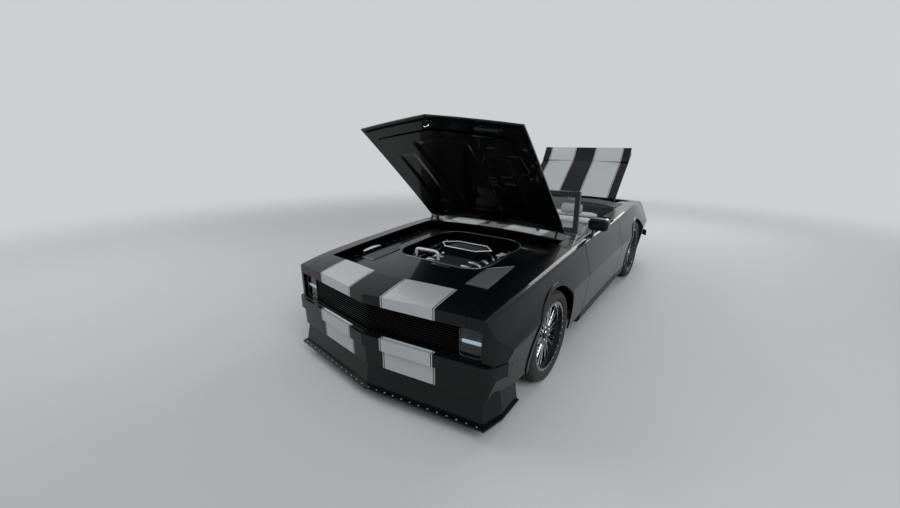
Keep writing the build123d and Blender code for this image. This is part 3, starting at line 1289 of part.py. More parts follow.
def tyre(tyre_r, rim_r, width, wheel_y, x):
    """Left tyre with rounded shoulders, seated on the rim between its flanges."""
    half = width / 2
    bead = half - 14 - 9
    with BuildPart() as carcass:
        with BuildSketch(Plane(origin=(x, 0, tyre_r), x_dir=(0, 1, 0), z_dir=(1, 0, 0))):
            with BuildLine():
                Polyline(
                    (wheel_y - bead, rim_r), (wheel_y - bead, rim_r + 18), (wheel_y - half, rim_r + 44),
                    (wheel_y - half + 6, tyre_r - 20), (wheel_y - half + 30, tyre_r), (wheel_y + half - 30, tyre_r),
                    (wheel_y + half - 6, tyre_r - 20), (wheel_y + half, rim_r + 44), (wheel_y + bead, rim_r + 18),
                    (wheel_y + bead, rim_r), close=True,
                )
            make_face()
        revolve(axis=Axis((x, 0, tyre_r), (0, 1, 0)))
    return carcass.part


front_wheel = wheel(FRONT_TYRE_R, FRONT_RIM_R, FRONT_TYRE_WIDTH, FRONT_WHEEL_Y, FRONT_AXLE_X, DISC_Y)
front_tyre = tyre(FRONT_TYRE_R, FRONT_RIM_R, FRONT_TYRE_WIDTH, FRONT_WHEEL_Y, FRONT_AXLE_X)
REAR_DISC_Y = REAR_WHEEL_Y - 46
rear_wheel = wheel(REAR_TYRE_R, REAR_RIM_R, REAR_TYRE_WIDTH, REAR_WHEEL_Y, REAR_AXLE_X, REAR_DISC_Y)
rear_tyre = tyre(REAR_TYRE_R, REAR_RIM_R, REAR_TYRE_WIDTH, REAR_WHEEL_Y, REAR_AXLE_X)
for name, side in SIDES:
    export(on_side(front_wheel, side), f"front_wheel_{name}")
    export(on_side(front_tyre, side), f"front_tyre_{name}")
    export(on_side(rear_wheel, side), f"rear_wheel_{name}")
    export(on_side(rear_tyre, side), f"rear_tyre_{name}")

# Rear axle with its brake calipers, links and dampers
AXLE_TUBE_R = 42
DIFF_R = 130
axle_end_y = REAR_DISC_Y - DISC_THICKNESS / 2 - 8
axle_tube = across(REAR_AXLE_X, REAR_TYRE_R, AXLE_TUBE_R, -axle_end_y, axle_end_y)
axle_spindles = across(REAR_AXLE_X, REAR_TYRE_R, SPINDLE_R, -REAR_WHEEL_Y - 62, REAR_WHEEL_Y + 62)
with BuildPart() as diff:
    with Locations((REAR_AXLE_X, 0, REAR_TYRE_R)):
        Sphere(DIFF_R)
    with BuildSketch(section_plane(REAR_AXLE_X + 60)):
        with Locations((0, REAR_TYRE_R - 60)):
            Circle(60)
    with BuildSketch(section_plane(REAR_AXLE_X + 150)):
        with Locations((0, CRANK_Z - 90)):
            Circle(44)
    loft()
rear_caliper = caliper(REAR_AXLE_X, REAR_TYRE_R, REAR_DISC_Y, 0)
caliper_plate = side_profile(
    (
        (REAR_AXLE_X - 130, REAR_TYRE_R - 50), (REAR_AXLE_X + 40, REAR_TYRE_R - 50), (REAR_AXLE_X + 40, REAR_TYRE_R + 50),
        (REAR_AXLE_X - 130, REAR_TYRE_R + 50),
    ),
    axle_end_y - 14, axle_end_y,
)
with BuildPart() as rear_axle:
    add(axle_tube)
    add(axle_spindles)
    add(diff.part)
    add(both_sides(rear_caliper))
    add(both_sides(caliper_plate))
export(rear_axle.part, "rear_axle")
LINK_Y = 440
LINK_FRONT_X = BULKHEAD_X - BULKHEAD_THICKNESS
link = side_profile(
    (
        (LINK_FRONT_X, FLOOR_TOP_Z + 10), (REAR_AXLE_X + 10, REAR_TYRE_R - 60), (REAR_AXLE_X + 10, REAR_TYRE_R),
        (REAR_AXLE_X + 40, REAR_TYRE_R), (LINK_FRONT_X, FLOOR_TOP_Z + 80),
    ),
    LINK_Y - 20, LINK_Y + 20,
) - axle_tube
damper = Pos(REAR_AXLE_X, 340, REAR_TYRE_R) * Cylinder(32, TUB_FRONT_Z - TUB_THICKNESS - REAR_TYRE_R, align=(Align.CENTER, Align.CENTER, Align.MIN))
with BuildPart() as suspension:
    add(both_sides(lower_arm))
    add(both_sides(upper_arm))
    add(both_sides(damper - axle_tube))
    add(both_sides(link))
export(suspension.part, "suspension")

# Exhaust and fuel tank
PIPE_R = 30
PIPE_Y = 250
PIPE_Z = 112
PIPE_START_X = 1040
PIPE_TAIL_Z = 208
with BuildPart() as exhaust:
    with BuildLine():
        run = FilletPolyline(
            (PIPE_START_X, PIPE_Y - 10, 470), (PIPE_START_X, PIPE_Y - 10, 210), (PIPE_START_X - 120, PIPE_Y, PIPE_Z),
            (-900, PIPE_Y, PIPE_Z), (-2140, PIPE_Y + 200, PIPE_Z), (-2240, PIPE_Y + 200, PIPE_TAIL_Z),
            (-2350, PIPE_Y + 200, PIPE_TAIL_Z), radius=50,
        )
    with BuildSketch(Plane(origin=run @ 0, z_dir=run % 0)):
        Circle(PIPE_R)
    sweep()
with BuildPart() as exhausts:
    add(both_sides(exhaust.part))
    add(engine.part, mode=Mode.SUBTRACT)
export(exhausts.part, "exhaust")
tank = box_between((-2230, -330, 196), (-1830, 330, TUB_REAR_Z - TUB_THICKNESS))
with BuildPart() as fuel_tank:
    add(tank)
    fillet(fuel_tank.edges(), 24)
export(fuel_tank.part, "fuel_tank")
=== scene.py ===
"""Looks of a low open muscle car with its hood and trunk lid raised, dressed over its construction model.

Lengths are in metres in the car's own frame: +X forward, +Y to the car's left, +Z up, the floor at zero.
"""

import logging
import math
from dataclasses import dataclass, field
from enum import Enum
from typing import Callable, Iterable, Sequence

import bmesh
import bpy
from mathutils import Matrix, Vector

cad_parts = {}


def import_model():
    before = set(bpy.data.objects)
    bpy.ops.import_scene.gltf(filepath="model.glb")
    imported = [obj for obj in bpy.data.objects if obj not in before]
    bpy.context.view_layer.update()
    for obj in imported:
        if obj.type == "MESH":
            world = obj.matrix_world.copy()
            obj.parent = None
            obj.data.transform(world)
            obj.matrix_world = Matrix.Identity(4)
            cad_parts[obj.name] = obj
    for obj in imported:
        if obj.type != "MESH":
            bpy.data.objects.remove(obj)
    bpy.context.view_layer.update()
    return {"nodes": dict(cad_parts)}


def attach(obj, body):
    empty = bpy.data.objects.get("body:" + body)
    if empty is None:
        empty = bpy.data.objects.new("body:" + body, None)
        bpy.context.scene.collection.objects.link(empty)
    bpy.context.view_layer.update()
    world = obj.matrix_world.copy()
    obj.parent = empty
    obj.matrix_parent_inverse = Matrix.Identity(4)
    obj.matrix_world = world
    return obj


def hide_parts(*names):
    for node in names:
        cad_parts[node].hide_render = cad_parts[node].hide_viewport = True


log = logging.getLogger("muscle_car")

Point = tuple[float, float, float]
Flat = tuple[float, float]
Piece = bpy.types.Object
Tree = bpy.types.NodeTree
Node = bpy.types.Node
Socket = bpy.types.NodeSocket
MM = 0.001
SMOOTH_ANGLE = math.radians(38)
SIDES = (("left", 1), ("right", -1))
STRIPE_INNER_Y = 0.150
STRIPE_OUTER_Y = 0.500
STRIPE_SHADOW = 0.006
PINSTRIPE = 0.007
BODY = "chassis"
AHEAD, REARWARD = (1.0, 0.0, 0.0), (-1.0, 0.0, 0.0)
ACROSS, UP = (0.0, 1.0, 0.0), (0.0, 0.0, 1.0)
FRONT_WHEEL = {
    "axle_x": 1.425, "middle_y": 0.772, "tyre_r": 0.334, "rim_r": 0.241, "width": 0.265, "disc_y": 0.714,
}
REAR_WHEEL = {
    "axle_x": -1.318, "middle_y": 0.748, "tyre_r": 0.355, "rim_r": 0.254, "width": 0.325, "disc_y": 0.702,
}


def linear(code: str) -> tuple[float, float, float, float]:
    """Turn an sRGB hex colour into the linear one that Blender works with.

    Args:
        code: Six hex digits with a leading hash.

    Returns:
        Red, green, blue and alpha, linear.
    """
    channels = [int(code[i:i + 2], 16) / 255 for i in (1, 3, 5)]
    red, green, blue = (c / 12.92 if c <= 0.04045 else ((c + 0.055) / 1.055) ** 2.4 for c in channels)
    return red, green, blue, 1.0


def add_node(tree: Tree, kind: str, inputs: dict | None = None, **settings) -> Node:
    """Add a node with its settings, values and links.

    Args:
        tree: Shader or geometry tree that takes the node.
        kind: Blender's type name for the node.
        inputs: Value or output socket for each input, by name or by number.
        settings: Attributes of the node itself.

    Returns:
        The new node.
    """
    node = tree.nodes.new(kind)
    for key, value in settings.items():
        setattr(node, key, value)
    for key, value in (inputs or {}).items():
        if isinstance(value, Socket):
            tree.links.new(value, node.inputs[key])
        else:
            node.inputs[key].default_value = value
    return node


def math_node(tree: Tree, operation: str, *values: Socket | float) -> Socket:
    """Join values by an operation of the Math node."""
    return add_node(tree, "ShaderNodeMath", dict(enumerate(values)), operation=operation).outputs[0]


def ranged(tree: Tree, value: Socket, low: float = 0.0, high: float = 1.0, source: Flat = (0.0, 1.0),
           **settings) -> Socket:
    """Map a value from its source range to the range from low to high."""
    level = add_node(tree, "ShaderNodeMapRange", {
        "Value": value, "From Min": source[0], "From Max": source[1], "To Min": low, "To Max": high,
    }, **settings)
    return level.outputs["Result"]


def mix_colours(tree: Tree, factor: Socket | float, under: Socket, over: Socket,
                blend: str = "MIX") -> Socket:
    """Lay one colour over another."""
    return add_node(tree, "ShaderNodeMix", {
        "Factor": factor, 6: under, 7: over,
    }, data_type="RGBA", blend_type=blend).outputs[2]


@dataclass(frozen=True)
class Finish:
    """A surface finish, with fine grain from noise read at the piece's own coordinates."""

    name: str
    colour: str
    roughness: float = 0.5
    metallic: float = 0.0
    ior: float = 1.5
    specular: float = 0.5
    coat: float = 0.0
    coat_roughness: float = 0.03
    sheen: float = 0.0
    transmission: float = 0.0
    emission: float = 0.0
    grain_mm: float = 3.0
    mottle: float = 0.10
    rough_spread: float = 0.04
    relief_mm: float = 0.0
    stretch: Point = (1.0, 1.0, 1.0)

    def material(self) -> bpy.types.Material:
        """Build the material once, and give the same one afterwards."""
        made = bpy.data.materials.get(self.name)
        if made is None:
            made = bpy.data.materials.new(self.name)
            made.use_nodes = True
            self.draw(made.node_tree)
            made.diffuse_color = linear(self.colour)
        return made

    def draw(self, tree: Tree) -> None:
        """Lay out the material's nodes."""
        tree.nodes.clear()
        place = add_node(tree, "ShaderNodeTexCoord")
        shader = add_node(tree, "ShaderNodeBsdfPrincipled", {
            "Metallic": self.metallic, "IOR": self.ior, "Coat Weight": self.coat,
            "Coat Roughness": self.coat_roughness, "Sheen Weight": self.sheen,
            "Specular IOR Level": self.specular,
            "Transmission Weight": self.transmission, "Emission Strength": self.emission,
            "Emission Color": linear(self.colour),
        })
        grain = self.grain(tree, place)
        colour = self.tint(tree, place, grain)
        tree.links.new(colour, shader.inputs["Base Color"])
        rough = ranged(tree, grain, max(self.roughness - self.rough_spread, 0.0),
                       min(self.roughness + self.rough_spread, 1.0))
        tree.links.new(rough, shader.inputs["Roughness"])
        height = self.height(tree, place, grain)
        if self.relief_mm:
            bump = add_node(tree, "ShaderNodeBump", {"Height": height, "Distance": self.relief_mm * MM})
            tree.links.new(bump.outputs["Normal"], shader.inputs["Normal"])
        self.extra(tree, place, shader)
        add_node(tree, "ShaderNodeOutputMaterial", {"Surface": shader.outputs["BSDF"]})

    def grain(self, tree: Tree, place: Node) -> Socket:
        """Fine noise, one grain every grain_mm."""
        mapped = add_node(tree, "ShaderNodeMapping",
                          {"Vector": place.outputs["Object"], "Scale": self.stretch})
        noise = add_node(tree, "ShaderNodeTexNoise", {
            "Vector": mapped.outputs["Vector"], "Scale": 1 / (self.grain_mm * MM), "Detail": 3.0,
        })
        return noise.outputs["Fac"]

    def tint(self, tree: Tree, place: Node,
             grain: Socket) -> Socket:
        """Colour that varies by the share mottle over the grain and over wide patches."""
        wide = add_node(tree, "ShaderNodeTexNoise",
                        {"Vector": place.outputs["Object"], "Scale": 3.0, "Detail": 2.0})
        both = math_node(tree, "ADD", grain, wide.outputs["Fac"])
        level = ranged(tree, both, 1 - self.mottle, 1 + self.mottle, (0.0, 2.0))
        return mix_colours(tree, 1.0, linear(self.colour), level, "MULTIPLY")

    def height(self, tree: Tree, place: Node,
               grain: Socket) -> Socket:
        """Relief of the surface, here the grain itself."""
        return grain

    def extra(self, tree: Tree, place: Node, shader: Node) -> None:
        """Further links of a particular finish; a plain one has none."""


@dataclass(frozen=True)
class StripedPaint(Finish):
    """Gloss paint with a pair of wide stripes along the car, each edged by a dark line and a pinstripe."""

    stripe: str = "#B9BDBE"
    flake: float = 0.45
    stripe_roughness: float = 0.36
    facing: Point = UP
    least_facing: float = 0.05
    low_z: float = 0.0
    low_x: float = -10.0

    def tint(self, tree: Tree, place: Node,
             grain: Socket) -> Socket:
        """Paint colour with the stripes on it."""
        under = Finish.tint(self, tree, place, grain)
        return mix_colours(tree, self.mask(tree, place), under, linear(self.stripe))

    def mask(self, tree: Tree, place: Node) -> Socket:
        """One inside the stripes on the outer face, and nothing elsewhere."""
        parts = add_node(tree, "ShaderNodeSeparateXYZ", {"Vector": place.outputs["Object"]})
        across = math_node(tree, "ABSOLUTE", parts.outputs["Y"])
        bands = (
            ((STRIPE_INNER_Y + STRIPE_OUTER_Y) / 2, (STRIPE_OUTER_Y - STRIPE_INNER_Y) / 2),
            (STRIPE_OUTER_Y + STRIPE_SHADOW + PINSTRIPE / 2, PINSTRIPE / 2),
            (STRIPE_INNER_Y - STRIPE_SHADOW - PINSTRIPE / 2, PINSTRIPE / 2),
        )
        total = None
        for centre, half in bands:
            band = math_node(tree, "COMPARE", across, centre, half)
            total = band if total is None else math_node(tree, "MAXIMUM", total, band)
        turned = add_node(tree, "ShaderNodeVectorMath", {
            0: place.outputs["Normal"], 1: self.facing,
        }, operation="DOT_PRODUCT")
        for value, least in (
            (turned.outputs["Value"], self.least_facing), (parts.outputs["Z"], self.low_z),
            (parts.outputs["X"], self.low_x),
        ):
            total = math_node(tree, "MULTIPLY", total, math_node(tree, "GREATER_THAN", value, least))
        return total

    def extra(self, tree: Tree, place: Node, shader: Node) -> None:
        """Give the stripes their metal flake."""
        mask = self.mask(tree, place)
        tree.links.new(ranged(tree, mask, 0.0, self.flake), shader.inputs["Metallic"])
        tree.links.new(ranged(tree, mask, self.roughness, self.stripe_roughness), shader.inputs["Roughness"])


@dataclass(frozen=True)
class Leather(Finish):
    """Upholstery hide: small closed cells pressed into the surface."""

    cell_mm: float = 2.2

    def height(self, tree: Tree, place: Node,
               grain: Socket) -> Socket:
        """Cells with sunk edges, roughened by the grain."""
        cells = add_node(tree, "ShaderNodeTexVoronoi", {
            "Vector": place.outputs["Object"], "Scale": 1 / (self.cell_mm * MM),
        }, feature="DISTANCE_TO_EDGE")
        return math_node(tree, "ADD", ranged(tree, cells.outputs["Distance"], source=(0.0, 0.18)), grain)


@dataclass(frozen=True)
class Woven(Finish):
    """Woven cloth or wire: threads cross over and under each other."""

    thread_mm: float = 2.0
    # Share by which painted shade darkens the gaps and holes between threads
    gap_shade: float = 0.0

    def weave(self, tree: Tree, place: Node) -> Socket:
        """Height of crossing threads along x and y, seen from above."""
        waves = [
            add_node(tree, "ShaderNodeTexWave", {
                "Vector": place.outputs["Object"], "Scale": 1 / (self.thread_mm * MM * 20),
            }, wave_type="BANDS", bands_direction=axis)
            for axis in ("X", "Y")
        ]
        return math_node(tree, "MAXIMUM", *(wave.outputs["Fac"] for wave in waves))

    def height(self, tree: Tree, place: Node,
               grain: Socket) -> Socket:
        """Relief of the threads."""
        return self.weave(tree, place)

    def tint(self, tree: Tree, place: Node,
             grain: Socket) -> Socket:
        """Colour of the threads, with painted shade darkening the gaps and holes between them."""
        under = Finish.tint(self, tree, place, grain)
        # Painted shade: darker where the weave is low, between the threads
        level = ranged(tree, self.weave(tree, place), 1 - self.gap_shade, source=(0.25, 0.75))
        return mix_colours(tree, 1.0, under, level, "MULTIPLY")


URETHANE = {
    "colour": "#08090B", "roughness": 0.3, "coat": 0.5, "specular": 0.05, "mottle": 0.05, "grain_mm": 0.9,
}


class Surface(Enum):
    """Every finish on the car."""

    # Two-stage urethane paint under clear coat: deep black with sharp reflections
    PAINT = Finish("gloss_black_urethane_paint", **URETHANE, rough_spread=0.02)
    NOSE_PAINT = StripedPaint("striped_urethane_paint_nose", **URETHANE, facing=(0.6, 0.0, 0.8))
    VALANCE_PAINT = StripedPaint("striped_urethane_paint_valance", **URETHANE, facing=AHEAD, low_z=0.262)
    DECK_PAINT = StripedPaint("striped_urethane_paint_deck", **URETHANE, low_z=0.8)
    HOOD_PAINT = StripedPaint("striped_urethane_paint_hood", **URETHANE, facing=(-0.72, 0.0, 0.69),
                              least_facing=0.3)
    LID_PAINT = StripedPaint("striped_urethane_paint_lid", **URETHANE, facing=(0.72, 0.0, 0.69),
                             least_facing=0.3)
    # Painted sheet inside the bay, with the body's gloss
    BAY_PAINT = Finish("gloss_black_bay_paint", **{**URETHANE, "colour": "#090A0C"})
    # Black-oxide wire cloth in the bay's inserts, drawn coarser than it is so that it shows
    WIRE_CLOTH = Woven("black_wire_cloth", "#4C4F52", roughness=0.7, thread_mm=3.2, gap_shade=0.6, relief_mm=0.6)
    # Satin e-coat on chassis pressings
    E_COAT = Finish("satin_black_e_coat", "#17181A", roughness=0.55, relief_mm=0.15, grain_mm=4, mottle=0.2)
    # Anodised black grille bars
    ANODISED_BLACK = Finish("anodised_black_aluminium", "#1B1C1E", roughness=0.34, metallic=0.85,
                            grain_mm=1.5)
    # Cast block and head covers, painted dark
    CAST_DARK = Finish("painted_cast_iron", "#1D1F21", roughness=0.5, grain_mm=2.5, relief_mm=0.4,
                       mottle=0.25)
    # Die-cast alloy left bare
    CAST_ALLOY = Finish("die_cast_aluminium", "#8C8F91", roughness=0.42, metallic=1.0, grain_mm=1.6,
                        relief_mm=0.15, mottle=0.12)
    # Machined and hand polished alloy: bright, faint lines
    POLISHED = Finish("polished_aluminium", "#D6D8DA", roughness=0.14, metallic=1.0, grain_mm=1.2,
                      stretch=(1.0, 12.0, 12.0), mottle=0.06)
    # Bead-blasted alloy that stays light where only the dark hood is above it
    SATIN_ALLOY = Finish("satin_aluminium", "#C8CBCD", roughness=0.5, metallic=0.5, grain_mm=1.4, mottle=0.08)
    CHROME = Finish("chrome_plate", "#DDE0E2", roughness=0.05, metallic=1.0, mottle=0.02)
    STAINLESS = Finish("brushed_stainless_steel", "#9FA3A6", roughness=0.3, metallic=1.0, grain_mm=2.0,
                       stretch=(0.08, 1.0, 1.0), mottle=0.2)
    DISC_STEEL = Finish("ground_cast_iron", "#8D9092", roughness=0.3, metallic=1.0, grain_mm=1.0, mottle=0.2)
    # Gloss black powder coat on forged wheels
    POWDER_COAT = Finish("gloss_black_powder_coat", "#111315", roughness=0.26, coat=0.8, specular=0.2,
                         grain_mm=1.4, relief_mm=0.02)
    RUBBER = Finish("tyre_rubber", "#1B1B1C", roughness=0.78, grain_mm=1.8, relief_mm=0.12, mottle=0.25)
    SEAL = Finish("epdm_rubber_seal", "#121213", roughness=0.7, grain_mm=2.0, relief_mm=0.05)
    HOSE = Finish("braided_black_hose", "#1E1F21", roughness=0.6, grain_mm=2.0, relief_mm=0.2)
    # Pale hide on the rolls and door tops
    PALE_HIDE = Leather("pale_grey_hide", "#BDC2C1", roughness=0.42, relief_mm=0.2, sheen=0.1, mottle=0.06,
                        grain_mm=6)
    GREY_HIDE = Leather("mid_grey_hide", "#858B8B", roughness=0.44, relief_mm=0.22, sheen=0.1, mottle=0.07,
                        grain_mm=6)
    DARK_HIDE = Leather("charcoal_hide", "#2A2C2E", roughness=0.5, relief_mm=0.22, mottle=0.1, grain_mm=6)
    VINYL = Leather("moulded_black_vinyl", "#141517", roughness=0.5, relief_mm=0.18, cell_mm=1.6)
    CANVAS = Woven("black_acrylic_canvas", "#18191B", roughness=0.85, thread_mm=1.8, relief_mm=0.35, gap_shade=0.3,
                   sheen=0.2)
    CARPET = Finish("cut_pile_carpet", "#1C1D20", roughness=0.95, grain_mm=3.0, relief_mm=1.6, mottle=0.45,
                    sheen=0.3)
    GLASS = Finish("laminated_glass", "#F2F6F4", roughness=0.0, rough_spread=0.0, transmission=1.0,
                   mottle=0.0)
    LAMP_GLASS = Finish("smoked_polycarbonate_lens", "#6F7A82", roughness=0.02, rough_spread=0.0, ior=1.58,
                        transmission=1.0, mottle=0.0)
    LAMP_HOUSING = Finish("satin_black_lamp_bezel", "#1A1B1D", roughness=0.3, coat=0.4)
    LIGHT_BAR = Finish("opal_light_guide", "#F4F8FF", roughness=0.3, emission=2.2, mottle=0.02)
    RED_LENS = Finish("red_acrylic_lens", "#7E0A12", roughness=0.08, coat=0.8, mottle=0.08)
    # Woven polyester webbing
    BELT = Woven("black_belt_webbing", "#1D1E20", roughness=0.7, thread_mm=1.4, relief_mm=0.2, gap_shade=0.2)
    DIAL = Finish("printed_dial_face", "#16181A", roughness=0.4)
    DIAL_MARK = Finish("white_dial_print", "#D8DCDD", roughness=0.5)
    GRILLE_CLOTH = Woven("black_grille_cloth", "#2A2C2E", roughness=0.5, metallic=0.6, thread_mm=4.0,
                         gap_shade=0.85, relief_mm=0.5)
    # Satin silver bead that catches a line of light round each opening
    EDGE_TRIM = Finish("satin_silver_edge_trim", "#6E7173", roughness=0.28, metallic=0.9, grain_mm=1.5)
    MIRROR_GLASS = Finish("silvered_mirror_glass", "#E6E9EA", roughness=0.02, metallic=1.0, mottle=0.0,
                          rough_spread=0.0)

    @property
    def material(self) -> bpy.types.Material:
        """Blender material of this finish."""
        return self.value.material()


NODES_BY_FINISH = {
    Surface.HOOD_PAINT: ("hood",),
    Surface.LID_PAINT: ("trunk_lid",),
    Surface.NOSE_PAINT: ("header_panel", "front_bumper"),
    Surface.VALANCE_PAINT: ("front_valance",),
    Surface.DECK_PAINT: ("cowl", "deck_panel"),
    Surface.PAINT: ("front_fenders", "quarters", "door_left", "door_right", "rear_bumper", "tail_panel",
                    "windshield_frame", "front_splitter"),
    Surface.CANVAS: ("top_boot",),
    Surface.BAY_PAINT: ("bay_cover", "bay_vents", "inner_fenders"),
    Surface.CAST_DARK: ("engine",),
    Surface.E_COAT: ("radiator", "subframe", "suspension", "rear_axle", "fuel_tank", "floor_pan",
                     "wheelhouses", "seat_mounts"),
    Surface.CAST_ALLOY: ("knuckle_left", "knuckle_right"),
    Surface.STAINLESS: ("exhaust",),
    Surface.CARPET: ("trunk_tub",),
    Surface.VINYL: ("dashboard", "console"),
    Surface.DARK_HIDE: ("steering_wheel",),
    Surface.ANODISED_BLACK: ("grille",),
    Surface.LAMP_HOUSING: ("headlamps",),
    Surface.RED_LENS: ("tail_lamps",),
    Surface.GLASS: ("windshield",),
    Surface.POWDER_COAT: ("front_wheel_left", "front_wheel_right", "rear_wheel_left", "rear_wheel_right"),
    Surface.RUBBER: ("front_tyre_left", "front_tyre_right", "rear_tyre_left", "rear_tyre_right"),
    Surface.GREY_HIDE: ("front_seats", "rear_seat"),
}
CAD_FINISHES = {node: surface for surface, nodes in NODES_BY_FINISH.items() for node in nodes}


def dress_frame(nodes: dict) -> None:
    """Give every construction node its finish.

    Args:
        nodes: Loaded objects by node name.
    """
    for name, node in nodes.items():
        node.data.materials.clear()
        node.data.materials.append(CAD_FINISHES[name].material)
    log.info("dressed %d nodes", len(nodes))


@dataclass
class Studio:
    """Pale floor, soft light and the camera at the photograph's angle."""

    eye: Point = (3.76, 1.69, 1.637)
    yaw: float = -144.3
    pitch: float = -16.5
    roll: float = -0.33
    lens_mm: float = 14.9
    floor_colour: str = "#BFC0C1"
    backdrop_colour: str = "#CDCFD1"
    floor_half: float = 60.0
    near_radius: float = 3.5
    far_radius: float = 11.0
    lamp_size: float = 4.0

    def build(self) -> None:
        """Make everything that isn't part of the car."""
        self.camera()
        self.world()
        self.floor()
        self.lamp("key", (4.5, 5.5, 5.5), 300.0)
        self.lamp("fill", (3.5, -5.5, 4.5), 150.0)
        self.lamp("back", (-6.0, 1.0, 4.5), 200.0)

    def camera(self) -> None:
        """Aim the camera by its yaw, pitch and roll."""
        data = bpy.data.cameras.new("camera")
        data.lens = self.lens_mm
        data.clip_end = 200.0
        camera = linked("camera", data)
        yaw, pitch = math.radians(self.yaw), math.radians(self.pitch)
        ahead = Vector((math.cos(yaw) * math.cos(pitch), math.sin(yaw) * math.cos(pitch), math.sin(pitch)))
        turn = Matrix.Rotation(math.radians(self.roll), 4, ahead)
        aim = ahead.to_track_quat("-Z", "Y").to_matrix().to_4x4()
        camera.matrix_world = Matrix.Translation(self.eye) @ turn @ aim
        bpy.context.scene.camera = camera

    def world(self) -> None:
        """Even pale surroundings, at full strength where they are seen and dimmer as a light."""
        world = bpy.data.worlds.new("studio")
        bpy.context.scene.world = world
        world.use_nodes = True
        tree = world.node_tree
        tree.nodes.clear()
        back = add_node(tree, "ShaderNodeBackground", {
            "Color": linear(self.backdrop_colour), "Strength": self.direct(tree, 0.55, 1.0),
        })
        add_node(tree, "ShaderNodeOutputWorld", {"Surface": back.outputs["Background"]})
        bpy.context.scene.view_settings.view_transform = "Standard"

    def direct(self, tree: Tree, indirect: float, shown: float) -> Socket:
        """One value for rays from the camera, a mirror or glass, and another for light on the object.

        Args:
            tree: Tree that takes the nodes.
            indirect: Value for diffuse light.
            shown: Value wherever the background is seen.

        Returns:
            Socket with the value.
        """
        path = add_node(tree, "ShaderNodeLightPath")
        seen = path.outputs["Is Camera Ray"]
        for ray in ("Is Glossy Ray", "Is Transmission Ray"):
            seen = math_node(tree, "MAXIMUM", seen, path.outputs[ray])
        return ranged(tree, seen, indirect, shown)

    def fade(self, tree: Tree) -> None:
        """Let the floor pass into the backdrop far from the car."""
        out = next(node for node in tree.nodes if node.bl_idname == "ShaderNodeOutputMaterial")
        lit = out.inputs["Surface"].links[0].from_socket
        place = add_node(tree, "ShaderNodeTexCoord")
        reach = add_node(tree, "ShaderNodeVectorMath", {0: place.outputs["Object"]}, operation="LENGTH")
        share = ranged(tree, reach.outputs["Value"], source=(self.near_radius, self.far_radius),
                       interpolation_type="SMOOTHERSTEP")
        glow = add_node(tree, "ShaderNodeEmission", {
            "Color": linear(self.backdrop_colour), "Strength": self.direct(tree, 0.5, 1.0),
        })
        mixed = add_node(tree, "ShaderNodeMixShader", {0: share, 1: lit, 2: glow.outputs[0]})
        tree.links.new(mixed.outputs[0], out.inputs["Surface"])

    def floor(self) -> None:
        """Plain pale floor with a faint mottle."""
        half = self.floor_half
        corners = [(-half, -half, 0.0), (half, -half, 0.0), (half, half, 0.0), (-half, half, 0.0)]
        floor = new_piece("studio_floor", corners, [(0, 1, 2, 3)])
        paint = Finish("pale_studio_floor", self.floor_colour, roughness=0.75, grain_mm=20, mottle=0.03)
        floor.data.materials.append(paint.material())
        self.fade(floor.data.materials[0].node_tree)

    def lamp(self, name: str, place: Point, power: float) -> None:
        """Add a soft square lamp aimed at the car's middle."""
        data = bpy.data.lights.new(name, "AREA")
        data.size = self.lamp_size
        data.energy = power
        lamp = linked(name, data)
        aim = Vector((0.0, 0.0, 0.5)) - Vector(place)
        lamp.matrix_world = Matrix.Translation(place) @ aim.to_track_quat("-Z", "Y").to_matrix().to_4x4()


def linked(name: str, data: bpy.types.ID) -> Piece:
    """Put new data into the scene as an object at the origin."""
    made = bpy.data.objects.new(name, data)
    bpy.context.scene.collection.objects.link(made)
    return made


def shade(mesh: bpy.types.Mesh) -> None:
    """Shade smooth, apart from edges sharper than the shared angle."""
    mesh.shade_smooth()
    mesh.set_sharp_from_angle(angle=SMOOTH_ANGLE)


def new_piece(name: str, points: Iterable[Sequence[float]], faces: Iterable[Sequence[int]],
              smooth: bool = True) -> Piece:
    """Make an object from points and faces, merged, facing outwards and shaded by angle.

    Args:
        name: Name of the piece.
        points: Corners in metres.
        faces: Corner numbers of each face.
        smooth: Whether faces that meet at a shallow angle shade as one.

    Returns:
        The object, at the origin.
    """
    mesh = bpy.data.meshes.new(name)
    mesh.from_pydata([tuple(p) for p in points], [], [tuple(f) for f in faces])
    tidy(mesh, smooth)
    return linked(name, mesh)


def tidy(mesh: bpy.types.Mesh, smooth: bool = True) -> None:
    """Merge doubled corners, face outwards and set the shading."""
    form = bmesh.new()
    form.from_mesh(mesh)
    bmesh.ops.remove_doubles(form, verts=form.verts, dist=1e-6)
    bmesh.ops.recalc_face_normals(form, faces=form.faces)
    form.to_mesh(mesh)
    form.free()
    if smooth:
        shade(mesh)


def skin(name: str, rings: Sequence[Sequence[Sequence[float]]], closed: bool = False) -> Piece:
    """Cover a row of like rings with faces.

    Args:
        name: Name of the piece.
        rings: Rings of as many points each; the last point of a ring joins its first.
        closed: Join the last ring to the first instead of capping both ends.

    Returns:
        The closed piece.
    """
    count = len(rings[0])
    points = [p for ring in rings for p in ring]
    faces = []
    spans = len(rings) if closed else len(rings) - 1
    for i in range(spans):
        a, b = i * count, ((i + 1) % len(rings)) * count
        for j in range(count):
            k = (j + 1) % count
            faces.append((a + j, a + k, b + k, b + j))
    if not closed:
        faces.append(tuple(range(count)))
        faces.append(tuple(range(len(points) - count, len(points))))
    return new_piece(name, points, faces)


